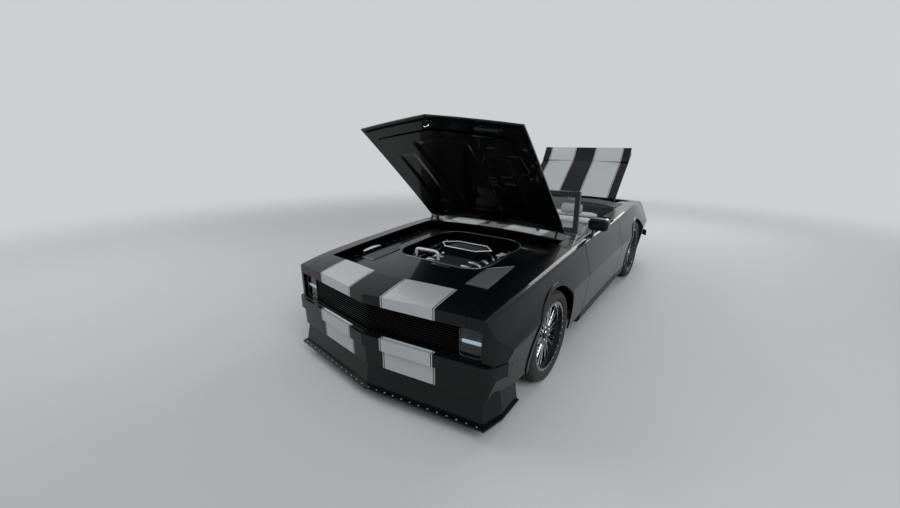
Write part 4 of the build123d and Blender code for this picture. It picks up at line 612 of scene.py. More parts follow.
def lathe(name: str, centre: Point, profile: Sequence[Flat], axis: Point = ACROSS,
          steps: int = 64) -> Piece:
    """Turn a closed profile about an axis.

    Args:
        name: Name of the piece.
        centre: Point on the axis where the profile's second number is zero.
        profile: Closed outline as radius and distance along the axis.
        axis: Direction of the axis.
        steps: Number of faces round the axis.

    Returns:
        The turned piece.
    """
    along = Vector(axis).normalized()
    side = along.orthogonal().normalized()
    up = along.cross(side)
    rings = []
    for i in range(steps):
        angle = 2 * math.pi * i / steps
        out = side * math.cos(angle) + up * math.sin(angle)
        rings.append([Vector(centre) + out * r + along * d for r, d in profile])
    return skin(name, rings, closed=True)


def slab(name: str, low: Point, high: Point, bevel: float, turn: Matrix | None = None) -> Piece:
    """Make a block with rounded edges, turned about its own middle."""
    form = bmesh.new()
    bmesh.ops.create_cube(form, size=1.0)
    size = [b - a for a, b in zip(low, high)]
    middle = Vector([(a + b) / 2 for a, b in zip(low, high)])
    bmesh.ops.scale(form, vec=size, verts=form.verts)
    bmesh.ops.bevel(form, geom=form.edges[:], offset=bevel, segments=3, affect="EDGES", profile=0.5)
    if turn is not None:
        bmesh.ops.transform(form, matrix=turn.to_4x4(), verts=form.verts)
    bmesh.ops.translate(form, vec=middle, verts=form.verts)
    mesh = bpy.data.meshes.new(name)
    form.to_mesh(mesh)
    form.free()
    tidy(mesh)
    return linked(name, mesh)


def wire(name: str, route: Sequence[Point], radius: float, sides: int, kind: str) -> bpy.types.Curve:
    """Round wire of one spline through a route.

    Args:
        name: Name of the curve.
        route: Control points in metres.
        radius: Radius of the wire.
        sides: Bevel resolution, a quarter of the faces round.
        kind: Blender's name for the kind of spline.

    Returns:
        The curve.
    """
    data = bpy.data.curves.new(name, "CURVE")
    data.dimensions = "3D"
    data.bevel_depth = radius
    data.bevel_resolution = sides
    data.resolution_u = 8
    spline = data.splines.new(kind)
    spline.points.add(len(route) - 1)
    for spot, place in zip(spline.points, route):
        spot.co = (*place, 1.0)
    return data


def tube(name: str, route: Sequence[Point], radius: float, sides: int = 4) -> Piece:
    """Mesh tube with closed ends along a smooth route."""
    data = wire(name, route, radius, sides, "NURBS")
    data.use_fill_caps = True
    data.splines[0].order_u = 3
    data.splines[0].use_endpoint_u = True
    return baked(bpy.data.objects.new(name, data))


def baked(piece: Piece) -> Piece:
    """Turn a curve or a modified object into a plain mesh object of the same name at the origin."""
    if piece.name not in bpy.context.scene.collection.objects:
        bpy.context.scene.collection.objects.link(piece)
    bpy.context.view_layer.update()
    seen = piece.evaluated_get(bpy.context.evaluated_depsgraph_get())
    mesh = bpy.data.meshes.new_from_object(seen)
    name = piece.name
    bpy.data.objects.remove(piece)
    mesh.name = name
    tidy(mesh)
    return linked(name, mesh)


def merged(name: str, pieces: Sequence[Piece]) -> Piece:
    """Join several objects into one mesh object."""
    form = bmesh.new()
    for piece in pieces:
        form.from_mesh(piece.data)
        bpy.data.objects.remove(piece)
    mesh = bpy.data.meshes.new(name)
    form.to_mesh(mesh)
    form.free()
    shade(mesh)
    return linked(name, mesh)


def mirrored(piece: Piece, name: str) -> Piece:
    """Make the same piece on the car's other side."""
    mesh = piece.data.copy()
    mesh.name = name
    form = bmesh.new()
    form.from_mesh(mesh)
    for corner in form.verts:
        corner.co.y = -corner.co.y
    bmesh.ops.reverse_faces(form, faces=form.faces)
    form.to_mesh(mesh)
    form.free()
    shade(mesh)
    return linked(name, mesh)


def fit(piece: Piece, surface: Surface, body: str = BODY,
        stands_for: Sequence[str] = ()) -> Piece:
    """Dress a finished piece and hang it on its body.

    Args:
        piece: Object at the origin.
        surface: Its finish.
        body: Body that it rides on.
        stands_for: Construction nodes that it takes the place of.

    Returns:
        The same object.
    """
    piece.data.materials.clear()
    piece.data.materials.append(surface.material)
    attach(piece, body)
    if stands_for:
        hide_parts(*stands_for)
    log.info("%s rides on %s", piece.name, body)
    return piece


class Spread(Enum):
    """How a repeated shape is laid out."""

    ROUND = "round"
    LINE = "line"


def repeat(piece: Piece, spread: Spread, count: int, surface: Surface,
           start: Point = (0.0, 0.0, 0.0), step: Point = (0.0, 0.0, 0.0)) -> Piece:
    """Repeat a shape with Geometry Nodes and turn the result into a plain mesh.

    Args:
        piece: Shape modelled about the origin.
        spread: Round turns it about an axis; line moves it by equal steps.
        count: Number of copies.
        surface: Finish that the tree sets.
        start: Place of the first copy, or of the axis.
        step: Step between copies, or the axis that they turn about.

    Returns:
        One joined mesh object with the piece's name.
    """
    tree = bpy.data.node_groups.new(f"repeat_{spread.value}", "GeometryNodeTree")
    sockets = {}
    for label, kind in (("Geometry", "NodeSocketGeometry"), ("Count", "NodeSocketInt"),
                        ("Start", "NodeSocketVector"), ("Step", "NodeSocketVector"),
                        ("Material", "NodeSocketMaterial")):
        sockets[label] = tree.interface.new_socket(label, in_out="INPUT", socket_type=kind).identifier
    tree.interface.new_socket("Geometry", in_out="OUTPUT", socket_type="NodeSocketGeometry")
    given = add_node(tree, "NodeGroupInput")
    along = (0.0, 0.0, 0.0) if spread is Spread.ROUND else given.outputs["Step"]
    line = add_node(tree, "GeometryNodeMeshLine", {
        "Count": given.outputs["Count"], "Start Location": given.outputs["Start"], "Offset": along,
    })
    turn = (0.0, 0.0, 0.0)
    if spread is Spread.ROUND:
        index = add_node(tree, "GeometryNodeInputIndex")
        share = math_node(tree, "DIVIDE", index.outputs[0], given.outputs["Count"])
        scaled = add_node(tree, "ShaderNodeVectorMath", {
            0: given.outputs["Step"], "Scale": math_node(tree, "MULTIPLY", share, 2 * math.pi),
        }, operation="SCALE")
        turn = scaled.outputs[0]
    copies = add_node(tree, "GeometryNodeInstanceOnPoints", {
        "Points": line.outputs["Mesh"], "Instance": given.outputs["Geometry"], "Rotation": turn,
    })
    real = add_node(tree, "GeometryNodeRealizeInstances", {"Geometry": copies.outputs["Instances"]})
    dressed = add_node(tree, "GeometryNodeSetMaterial", {
        "Geometry": real.outputs["Geometry"], "Material": given.outputs["Material"],
    })
    add_node(tree, "NodeGroupOutput", {"Geometry": dressed.outputs["Geometry"]})
    modifier = piece.modifiers.new("repeat", "NODES")
    modifier.node_group = tree
    modifier[sockets["Count"]] = count
    modifier[sockets["Start"]] = start
    modifier[sockets["Step"]] = step
    modifier[sockets["Material"]] = surface.material
    return baked(piece)


@dataclass
class Wheel:
    """Tyre, brake disc face, cap, nuts, bolts and bright spoke edges of one wheel."""

    name: str
    side: int
    axle_x: float
    middle_y: float
    tyre_r: float
    rim_r: float
    width: float
    disc_y: float
    disc_r: float = 0.178
    tread_depth: float = 0.007
    block_count: int = 64
    nut_count: int = 5
    rim_bolt_count: int = 30
    spoke_count: int = 10
    nut_circle: float = 0.048
    hub_inset: float = 0.054
    flange_inset: float = 0.014
    tread_rows: int = 5
    tread_gap: float = 0.009
    shoulder_drop: float = 0.004

    def build(self) -> None:
        """Make and hang every piece of the wheel."""
        end, hand = self.name.split("_")
        body, tyre = f"{end}_wheel_{hand}", f"{end}_tyre_{hand}"
        centre = (self.axle_x, self.side * self.middle_y, self.tyre_r)
        fit(self.carcass(centre), Surface.RUBBER, body, [tyre])
        fit(self.tread(centre), Surface.RUBBER, body)
        fit(self.disc(), Surface.DISC_STEEL, body)
        fit(self.cap(centre), Surface.POWDER_COAT, body)
        fit(self.nuts(centre), Surface.CHROME, body)
        fit(self.rim_bolts(centre), Surface.CHROME, body)
        fit(self.spoke_edges(centre), Surface.POLISHED, body)

    def carcass(self, centre: Point) -> Piece:
        """Tyre with rounded shoulders and a raised rib round each wall."""
        half, base = self.width / 2, self.tyre_r - self.tread_depth
        bead = half - 0.023
        wall = [
            (self.rim_r, bead), (self.rim_r + 0.018, bead), (self.rim_r + 0.022, half - 0.012),
            (self.rim_r + 0.034, half - 0.003), (self.rim_r + 0.038, half - 0.003),
            (self.rim_r + 0.040, half),
            (self.rim_r + 0.046, half), (self.rim_r + 0.048, half - 0.002),
            (self.tyre_r - 0.030, half - 0.003),
            (self.tyre_r - 0.028, half - 0.0045), (self.tyre_r - 0.018, half - 0.007),
            (base - 0.004, half - 0.018), (base, half - 0.028),
        ]
        profile = wall + [(r, -y) for r, y in reversed(wall)]
        return lathe(f"{self.name}_carcass", centre, profile, steps=96)

    def tread(self, centre: Point) -> Piece:
        """Rows of blocks round the tyre."""
        half = self.width / 2 - 0.020
        rows = self.tread_rows
        pitch = 2 * half / rows
        arc = 2 * math.pi * self.tyre_r / self.block_count
        blocks = []
        for row in range(rows):
            y = -half + (row + 0.5) * pitch
            shoulder = row in (0, rows - 1)
            length = arc * (0.86 if shoulder else 0.8)
            shift = arc * 0.5 * (row % 2)
            skew = 0.004 * (row - (rows - 1) / 2)
            drop = self.shoulder_drop if shoulder else 0.0
            blocks.append(self.block(y, pitch - self.tread_gap, length, shift, skew, drop))
        block = merged(f"{self.name}_tread", blocks)
        return repeat(block, Spread.ROUND, self.block_count, Surface.RUBBER, centre, ACROSS)

    def block(self, y: float, width: float, length: float, shift: float, skew: float,
              drop: float) -> Piece:
        """One tread block standing on the carcass at the bottom of the tyre."""
        low, high = self.tyre_r - self.tread_depth - 0.004, self.tyre_r
        inset = 0.0012
        outer_drop = drop if y > 0 else 0.0
        inner_drop = drop if y < 0 else 0.0
        points = []
        for radius, cut in ((low, 0.0), (high, inset)):
            for along, across in ((-1, -1), (1, -1), (1, 1), (-1, 1)):
                angle = (shift + along * (length / 2 - cut) + across * skew) / self.tyre_r
                fall = outer_drop if across > 0 else inner_drop
                spread = radius - (fall if radius == high else 0.0)
                points.append((
                    spread * math.sin(angle), y + across * (width / 2 - cut), -spread * math.cos(angle),
                ))
        faces = [(0, 1, 2, 3), (4, 5, 6, 7), (0, 1, 5, 4), (1, 2, 6, 5), (2, 3, 7, 6), (3, 0, 4, 7)]
        return new_piece("block", points, faces, smooth=False)

    def disc(self) -> Piece:
        """Ground faces of the brake disc."""
        y = self.side * self.disc_y
        centre = (self.axle_x, y, self.tyre_r)
        thick = 0.0146
        profile = [
            (0.082, -thick), (self.disc_r - 0.002, -thick), (self.disc_r + 0.0006, -thick + 0.002),
            (self.disc_r + 0.0006, thick - 0.002), (self.disc_r - 0.002, thick), (0.082, thick),
        ]
        return lathe(f"{self.name}_disc", centre, profile, steps=72)

    @property
    def hub_face(self) -> float:
        """y of the hub's outer face from the wheel's middle."""
        return self.side * (self.width / 2 - self.hub_inset)

    def fitting(self, name: str, place: Point, face: float, steps: Sequence[Flat], sides: int) -> Piece:
        """Turned fitting whose steps are pairs of radius and height above an outer face."""
        profile = [(r, face + self.side * rise) for r, rise in steps]
        return lathe(f"{self.name}_{name}", place, profile, steps=sides)

    def cap(self, centre: Point) -> Piece:
        """Domed centre cap over the hub's bore."""
        steps = ((0.0002, 0.014), (0.018, 0.012), (0.028, 0.007), (0.033, 0.0), (0.033, -0.008),
                 (0.0002, -0.008))
        return self.fitting("cap", centre, self.hub_face + self.side * 0.002, steps, 48)

    def nuts(self, centre: Point) -> Piece:
        """Ring of wheel nuts with tapered ends."""
        steps = ((0.0002, -0.004), (0.0098, -0.004), (0.0098, 0.012), (0.006, 0.018), (0.0002, 0.019))
        nut = self.fitting("nuts", (0.0, 0.0, -self.nut_circle), self.hub_face, steps, 6)
        return repeat(nut, Spread.ROUND, self.nut_count, Surface.CHROME, centre, ACROSS)

    def spoke_edges(self, centre: Point) -> Piece:
        """Machined bright edges along both arms of every spoke."""
        face = self.hub_face
        arms = []
        for slant in (1, -1):
            for near, far in ((0.0042, 0.0235), (0.0130, 0.0345)):
                outer = (self.rim_r - 0.016, face, slant * far)
                arms.append(rod("arm", (0.074, face, slant * near), outer, 0.0018, 8))
        edges = merged(f"{self.name}_spoke_edges", arms)
        return repeat(edges, Spread.ROUND, self.spoke_count, Surface.POLISHED, centre, ACROSS)

    def rim_bolts(self, centre: Point) -> Piece:
        """Small bolts round the rim's outer flange."""
        face = self.side * (self.width / 2 - self.flange_inset)
        steps = ((0.0002, -0.002), (0.0045, -0.002), (0.0045, 0.003), (0.0030, 0.0045), (0.0002, 0.005))
        bolt = self.fitting("rim_bolts", (0.0, 0.0, -(self.rim_r - 0.001)), face, steps, 8)
        return repeat(bolt, Spread.ROUND, self.rim_bolt_count, Surface.CHROME, centre, ACROSS)


class Form:
    """The body's surface, from the same table of sections as the construction model."""

    COLUMNS = ("x", "low_z", "low_y", "crease_z", "crease_y", "shoulder_z", "shoulder_y", "centre_z")
    ROWS = (
        (2.400, 0.262, 0.790, 0.520, 0.868, 0.700, 0.800, 0.722),
        (2.150, 0.248, 0.846, 0.545, 0.914, 0.762, 0.834, 0.792),
        (1.425, 0.175, 0.886, 0.592, 0.936, 0.828, 0.858, 0.866),
        (0.600, 0.138, 0.878, 0.590, 0.932, 0.866, 0.860, 0.904),
        (-0.350, 0.138, 0.878, 0.588, 0.930, 0.872, 0.858, 0.908),
        (-1.000, 0.150, 0.884, 0.598, 0.942, 0.898, 0.848, 0.922),
        (-1.600, 0.180, 0.880, 0.604, 0.944, 0.894, 0.824, 0.914),
        (-2.400, 0.262, 0.800, 0.585, 0.884, 0.838, 0.760, 0.856),
    )
    NOSE_X = 2.342
    NOSE_SLOPE = 0.145
    SKIN = 0.012
    COVER_DEPTH = 0.070

    @classmethod
    def at(cls, x: float) -> dict[str, float]:
        """Section at x, between the two nearest rows."""
        rows = [dict(zip(cls.COLUMNS, row)) for row in cls.ROWS]
        front, rear = next((a, b) for a, b in zip(rows, rows[1:]) if b["x"] <= x <= a["x"])
        share = (x - rear["x"]) / (front["x"] - rear["x"])
        return {key: rear[key] + share * (front[key] - rear[key]) for key in cls.COLUMNS}

    @classmethod
    def top(cls, x: float, y: float) -> float:
        """Height of the upper face."""
        row = cls.at(x)
        return row["centre_z"] - (row["centre_z"] - row["shoulder_z"]) * (y / row["shoulder_y"]) ** 2

    @classmethod
    def side(cls, x: float, z: float) -> float:
        """Half width of the body at a height."""
        row = cls.at(x)
        if z >= row["crease_z"]:
            share = (z - row["crease_z"]) / (row["shoulder_z"] - row["crease_z"])
            return row["crease_y"] + share * (row["shoulder_y"] - row["crease_y"])
        share = (z - row["low_z"]) / (row["crease_z"] - row["low_z"])
        return row["low_y"] + share * (row["crease_y"] - row["low_y"])

    @classmethod
    def nose(cls, y: float, setback: float = 0.0) -> float:
        """x of the nose at a half width."""
        return cls.NOSE_X - setback - cls.NOSE_SLOPE * abs(y)


@dataclass(frozen=True)
class Hinge:
    """Axis across the car about which a panel stands open."""

    x: float
    z: float
    degrees: float

    def turn(self, piece: Piece) -> Piece:
        """Turn a piece made for the closed panel into its open place."""
        pivot = Matrix.Translation((self.x, 0.0, self.z))
        spin = Matrix.Rotation(math.radians(self.degrees), 4, "Y")
        piece.data.transform(pivot @ spin @ pivot.inverted())
        piece.data.update()
        return piece


HOOD_HINGE = Hinge(0.700, 0.8448, -46.0)
LID_HINGE = Hinge(-1.350, 0.8660, 46.0)


def outline_tube(name: str, corners: Sequence[Point], radius: float, sides: int = 3) -> Piece:
    """Round bead along a closed outline with mitred corners."""
    data = wire(name, corners, radius, sides, "POLY")
    data.splines[0].use_cyclic_u = True
    return baked(bpy.data.objects.new(name, data))


def sheet_between(name: str, front: Sequence[Sequence[Point]], back: Sequence[Sequence[Point]]) -> Piece:
    """Closed sheet between two grids of as many points each."""
    tall, wide = len(front), len(front[0])
    points = [p for row in (*front, *back) for p in row]
    faces = []
    count = tall * wide
    for i in range(tall - 1):
        for j in range(wide - 1):
            a = i * wide + j
            faces.append((a, a + 1, a + wide + 1, a + wide))
            faces.append((count + a, count + a + wide, count + a + wide + 1, count + a + 1))
    rim = list(range(wide)) + [i * wide + wide - 1 for i in range(1, tall)]
    rim += [(tall - 1) * wide + j for j in range(wide - 2, -1, -1)]
    rim += [i * wide for i in range(tall - 2, 0, -1)]
    for a, b in zip(rim, rim[1:] + rim[:1]):
        faces.append((a, b, count + b, count + a))
    return new_piece(name, points, faces)


def sheet_of(name: str, rows: Sequence[Sequence[Point]], thick: float) -> Piece:
    """Closed sheet over a grid of points, with its second face below the first by the thickness."""
    top = [[Vector(p) for p in row] for row in rows]
    return sheet_between(name, top, [[p - Vector((0.0, 0.0, thick)) for p in row] for row in top])


def prism(name: str, corners: Sequence[Flat], low: float, high: float, axis: str = "z",
          bevel: float = 0.0) -> Piece:
    """Closed block over an outline.

    Args:
        name: Name of the piece.
        corners: Outline as (x, y) pairs for axis z, or as (x, z) pairs for axis y, or (y, z) for axis x.
        low: Where the block begins along its axis.
        high: Where it ends.
        axis: Axis that the block runs along.
        bevel: Radius of its rounded edges.

    Returns:
        The block.
    """
    place = {
        "z": lambda p, d: (p[0], p[1], d),
        "y": lambda p, d: (p[0], d, p[1]),
        "x": lambda p, d: (d, p[0], p[1]),
    }[axis]
    piece = skin(name, [[place(p, d) for p in corners] for d in (low, high)])
    if bevel:
        form = bmesh.new()
        form.from_mesh(piece.data)
        sharp = [e for e in form.edges if e.calc_face_angle(0.0) > math.radians(25)]
        bmesh.ops.bevel(form, geom=sharp, offset=bevel, segments=3, affect="EDGES", profile=0.5,
                        clamp_overlap=True)
        form.to_mesh(piece.data)
        form.free()
        tidy(piece.data)
    return piece


def rounded(half_x: float, half_y: float, radius: float, steps: int = 8) -> list[Flat]:
    """Outline of a rectangle with round corners, about zero."""
    outline = []
    for turn, (sx, sy) in enumerate(((1, 1), (-1, 1), (-1, -1), (1, -1))):
        for i in range(steps + 1):
            angle = math.radians(90 * turn + 90 * i / steps)
            outline.append((
                sx * (half_x - radius) + radius * math.cos(angle),
                sy * (half_y - radius) + radius * math.sin(angle),
            ))
    return outline


@dataclass
class Nose:
    """Lamps, grille backing and small fittings of the front end."""

    lamp_inner_y: float = 0.646
    lamp_outer_y: float = 0.794
    low_z: float = 0.492
    high_z: float = 0.682
    wall: float = 0.024
    bar_height: float = 0.020
    bolt_count: int = 26

    def build(self) -> None:
        """Make and hang every piece of the nose."""
        fit(self.backing(), Surface.GRILLE_CLOTH)
        for name, side in SIDES:
            fit(self.lens(name, side), Surface.LAMP_GLASS)
            fit(self.bar(name, side), Surface.LIGHT_BAR)
            fit(self.reflector(name, side), Surface.ANODISED_BLACK)
            fit(self.bezel(name, side), Surface.LAMP_HOUSING)
        fit(self.splitter_bolts(), Surface.STAINLESS)

    @property
    def middle_z(self) -> float:
        """Height of the lamps' middle."""
        return (self.low_z + self.high_z) / 2 - 0.007

    def place(self, side: int, across: float, out: float, z: float) -> Point:
        """Point on the lamp's slanted face: across from its middle, out from its front."""
        middle = (self.lamp_inner_y + self.lamp_outer_y) / 2
        x = Form.nose(middle, self.wall + 0.004) - Form.NOSE_SLOPE * across
        return (x + out, side * (middle + across + Form.NOSE_SLOPE * out), z)

    def plate(self, name: str, side: int, half_y: float, half_z: float, radius: float, back: float,
              front: float, z: float | None = None) -> Piece:
        """Rounded plate parallel to the lamp's face."""
        centre = z if z is not None else self.middle_z
        outline = rounded(half_y, half_z, radius)
        rings = [[self.place(side, a, out, centre + b) for a, b in outline] for out in (back, front)]
        return skin(name, rings)

    def lens(self, name: str, side: int) -> Piece:
        """Smoked cover of a lamp."""
        return self.plate(f"lamp_lens_{name}", side, 0.062, 0.080, 0.014, -0.006, -0.002)

    def bar(self, name: str, side: int) -> Piece:
        """Lit level bar across a lamp."""
        return self.plate(f"lamp_bar_{name}", side, 0.058, self.bar_height / 2, 0.006, -0.016, -0.010, 0.585)

    def reflector(self, name: str, side: int) -> Piece:
        """Two dark projector rims above and below the bar."""
        rims = []
        for z in (0.545, 0.625):
            centre = Vector(self.place(side, 0.0, -0.028, z))
            axis = (1.0, side * Form.NOSE_SLOPE, 0.0)
            profile = [(0.020, 0.0), (0.026, 0.0), (0.028, 0.012), (0.026, 0.014), (0.0225, 0.012),
                       (0.012, 0.002)]
            rims.append(lathe("rim", tuple(centre), profile, axis, 40))
        return merged(f"lamp_projectors_{name}", rims)

    def bezel(self, name: str, side: int) -> Piece:
        """Rounded frame round a lamp."""
        outline = rounded(0.068, 0.086, 0.020)
        corners = [self.place(side, a, -0.001, self.middle_z + b) for a, b in outline]
        return outline_tube(f"lamp_bezel_{name}", corners, 0.0035)

    def backing(self) -> Piece:
        """Fine black wire cloth behind the grille's bars."""
        half = self.lamp_inner_y - 0.006
        corners = [(Form.nose(y, 0.078), y) for y in (-half, 0.0, half)]
        corners += [(x - 0.003, y) for x, y in reversed(corners)]
        return prism("grille_cloth", corners, self.low_z + 0.001, self.high_z - 0.001)

    def splitter_bolts(self) -> Piece:
        """Low domed screws along the splitter's edge."""
        heads = []
        for i in range(self.bolt_count):
            y = -0.80 + 1.6 * i / (self.bolt_count - 1)
            x = Form.nose(y, -0.026)
            heads.append(dome("head", (x, y, 0.0995), 0.0055, 0.003))
        return merged("splitter_bolts", heads)


def dome(name: str, place: Point, radius: float, rise: float, axis: Point = UP,
         steps: int = 16) -> Piece:
    """Low round screw head."""
    profile = [(0.0002, 0.0), (radius, 0.0), (radius, rise * 0.4), (radius * 0.75, rise * 0.85),
               (0.0002, rise)]
    return lathe(name, place, profile, axis, steps)


@dataclass
class Bay:
    """Trim and fittings of the open engine bay."""

    nodes: dict
    opening_x: Flat = (0.850, 1.640)
    opening_half_y: float = 0.420
    corner: float = 0.190
    vent_plan: tuple[Flat, ...] = ((1.835, 0.434), (1.655, 0.428), (1.545, 0.428), (1.390, 0.565),
                                   (1.815, 0.590))
    engine_x: float = 1.260
    box_x: float = 1.170
    box_half: Flat = (0.105, 0.255)
    box_top: float = 0.792
    screw_count: int = 12
    cylinder_pitch: float = 0.112
    bank_degrees: float = 50.0
    bank_y: float = 0.28
    bank_z: float = 0.58
    lines: tuple[Point, ...] = ((0.325, 0.742, 0.012), (0.352, 0.736, 0.018), (0.378, 0.722, 0.008))

    def build(self) -> None:
        """Make and hang every piece of the bay."""
        fit(self.opening_bead(), Surface.EDGE_TRIM)
        fit(self.vent_beads(), Surface.EDGE_TRIM)
        fit(self.vent_cloth(), Surface.WIRE_CLOTH)
        fit(self.air_box(), Surface.ANODISED_BLACK)
        fit(self.runners(), Surface.CAST_ALLOY)
        fit(self.cover_ribs(), Surface.CAST_DARK)
        fit(self.box_edge(), Surface.SATIN_ALLOY)
        fit(self.filter(), Surface.DARK_HIDE)
        fit(self.hoses(), Surface.HOSE)
        fit(self.fittings(), Surface.CHROME)
        fit(self.rails(), Surface.POLISHED)
        fit(self.bracket(), Surface.SATIN_ALLOY)
        fit(self.blank_plate(), Surface.EDGE_TRIM)
        fit(self.elbow(), Surface.SATIN_ALLOY)
        fit(self.radiator_cap(), Surface.CHROME)
        fit(self.cover_screws(), Surface.STAINLESS)
        fit(self.coil_packs(), Surface.VINYL)

    def cylinder_x(self, place: float) -> float:
        """x at so many cylinders ahead of the engine's middle."""
        return self.engine_x + place * self.cylinder_pitch

    def on_bank(self, side: int, out: float) -> tuple[float, float, Matrix]:
        """y and z at a distance out of a head cover's axis, and the turn that lays a piece on it."""
        slope = math.radians(self.bank_degrees)
        y, z = side * (self.bank_y + math.sin(slope) * out), self.bank_z + math.cos(slope) * out
        return y, z, Matrix.Rotation(-side * slope, 3, "X")

    def cover(self, x: float, y: float, above: float = 0.0) -> Point:
        """Point on the bay cover, found on the construction model where there is one below it."""
        heights = [Form.top(x, y) - Form.COVER_DEPTH - 0.010]
        for name in ("bay_cover", "bay_vents"):
            node = self.nodes[name]
            back = node.matrix_world.inverted()
            aim = (back.to_3x3() @ Vector((0.0, 0.0, -1.0))).normalized()
            hit, place, _, _ = node.ray_cast(back @ Vector((x, y, 1.5)), aim)
            if hit:
                heights.append((node.matrix_world @ place).z)
        return (x, y, max(heights) + above)

    def opening_bead(self) -> Piece:
        """Silver bead round the engine's opening."""
        middle = sum(self.opening_x) / 2
        half = (self.opening_x[1] - self.opening_x[0]) / 2
        outline = rounded(half, self.opening_half_y, self.corner, 12)
        corners = [self.cover(middle + a * 1.004, b * 1.004, 0.001) for a, b in outline]
        return outline_tube("bay_opening_bead", corners, 0.005)

    def vent_beads(self) -> Piece:
        """Thin lighter rim round each mesh insert."""
        beads = [outline_tube("bead", self.edge_points(side, 0.002), 0.0035) for _, side in SIDES]
        return merged("bay_vent_beads", beads)

    def edge_points(self, side: int, above: float) -> list[Point]:
        """Points on the cover along an insert's outline, five to an edge."""
        places = []
        for (ax, ay), (bx, by) in zip(self.vent_plan, self.vent_plan[1:] + self.vent_plan[:1]):
            for i in range(5):
                share = i / 5
                places.append(self.cover(ax + share * (bx - ax), side * (ay + share * (by - ay)), above))
        return places

    def vent_cloth(self) -> Piece:
        """Wire cloth in each insert, a little proud of the cover."""
        panels = []
        for _, side in SIDES:
            outline = self.edge_points(side, 0.0)
            rings = [[(x, y, z + above) for x, y, z in outline] for above in (-0.006, 0.0025)]
            panels.append(skin("cloth", rings))
        return merged("bay_vent_cloth", panels)

    def air_box(self) -> Piece:
        """Six-sided tray over the intake."""
        floor_z = self.box_top - 0.030
        levels = ((0.010, 0.712), (0.0, 0.724), (0.0, self.box_top), (0.012, self.box_top), (0.012, floor_z))
        rings = [[(x, y, z) for x, y in self.box_outline(inset)] for inset, z in levels]
        return skin("air_box", rings)

    def runners(self) -> Piece:
        """Intake runners from the plenum to both heads."""
        pipes = []
        for _, side in SIDES:
            for i in range(4):
                x = self.cylinder_x(i - 1.5)
                route = [(x, side * 0.09, 0.690), (x, side * 0.17, 0.712), (x, side * 0.235, 0.690),
                         (x, side * 0.262, 0.640)]
                pipes.append(tube("pipe", route, 0.022, 4))
                pipes.append(rod("flange", (x, side * 0.258, 0.652), (x, side * 0.266, 0.636), 0.029, 24))
        return merged("intake_runners", pipes)

    def cover_ribs(self) -> Piece:
        """Cast ribs across each head cover."""
        ribs = []
        for _, side in SIDES:
            y, z, turn = self.on_bank(side, 0.072)
            for i in range(5):
                x = self.cylinder_x(i - 2)
                low, high = (x - 0.004, y - 0.056, z - 0.005), (x + 0.004, y + 0.056, z + 0.005)
                ribs.append(slab("rib", low, high, 0.0018, turn))
        return merged("head_cover_ribs", ribs)

    def box_outline(self, inset: float) -> list[Flat]:
        """Six-sided outline of the air box."""
        hx, hy = self.box_half[0] - inset, self.box_half[1] - inset
        return [
            (self.box_x + hx, -hy * 0.6), (self.box_x + hx, hy * 0.6), (self.box_x, hy),
            (self.box_x - hx, hy * 0.6), (self.box_x - hx, -hy * 0.6), (self.box_x, -hy),
        ]

    def box_edge(self) -> Piece:
        """Satin alloy edge round the top of the air box."""
        corners = [(x, y, self.box_top) for x, y in self.box_outline(0.006)]
        return outline_tube("air_box_edge", corners, 0.0062)

    def filter(self) -> Piece:
        """Pleated element inside the air box."""
        corners = [(-0.0035, -0.16), (0.0035, -0.16), (0.0035, 0.16), (-0.0035, 0.16)]
        fold = prism("air_filter", corners, 0.0, 0.022, bevel=0.0012)
        count = 15
        start = (self.box_x - 0.084, 0.0, self.box_top - 0.030)
        return repeat(fold, Spread.LINE, count, Surface.DARK_HIDE, start, (0.012, 0.0, 0.0))

    def hoses(self) -> Piece:
        """Braided lines back along both sides of the engine, and two hoses to the radiator."""
        lines = []
        for _, side in SIDES:
            for i, (y, z, sag) in enumerate(self.lines):
                route = [
                    (1.60 - 0.03 * i, side * y * 0.85, z - 0.10), (1.52, side * y, z),
                    (1.34, side * y, z - sag),
                    (1.14, side * (y + 0.004), z), (0.99, side * y, z + 0.01),
                    (0.90, side * y * 0.92, z - 0.10),
                ]
                lines.append(tube("line", route, 0.009 - 0.001 * i, 3))
        route = [(1.60, 0.11, 0.60), (1.66, 0.12, 0.66), (1.80, 0.16, 0.64), (1.97, 0.20, 0.64)]
        lines.append(tube("line", route, 0.021, 4))
        route = [(1.60, -0.12, 0.45), (1.70, -0.14, 0.44), (1.85, -0.20, 0.46), (1.97, -0.24, 0.46)]
        lines.append(tube("line", route, 0.021, 4))
        return merged("coolant_and_fuel_hoses", lines)

    def fittings(self) -> Piece:
        """Hexagonal unions on the hoses."""
        parts = []
        for _, side in SIDES:
            for i, (y, z, _) in enumerate(self.lines):
                for x in (1.515 - 0.02 * i, 1.16 + 0.03 * i, 1.00):
                    centre = (x, side * (y + 0.001), z + (0.009 if x < 1.01 else 0.0))
                    profile = [(0.0085, -0.012), (0.0135, -0.012), (0.0135, 0.012), (0.0085, 0.012)]
                    parts.append(lathe("union", centre, profile, AHEAD, 6))
        return merged("hose_unions", parts)

    def rails(self) -> Piece:
        """Fuel rail over each head with its clamps, which carry the lines."""
        parts = []
        for _, side in SIDES:
            parts.append(rod("rail", (1.02, side * 0.300, 0.716), (1.50, side * 0.300, 0.716), 0.011, 20))
            for x in (1.09, 1.26, 1.43):
                parts.append(slab("clamp", (x - 0.006, min(side * 0.290, side * 0.392), 0.712),
                                  (x + 0.006, max(side * 0.290, side * 0.392), 0.722), 0.002))
                parts.append(rod("leg", (x, side * 0.300, 0.64), (x, side * 0.300, 0.716), 0.006, 12))
        return merged("fuel_rails", parts)

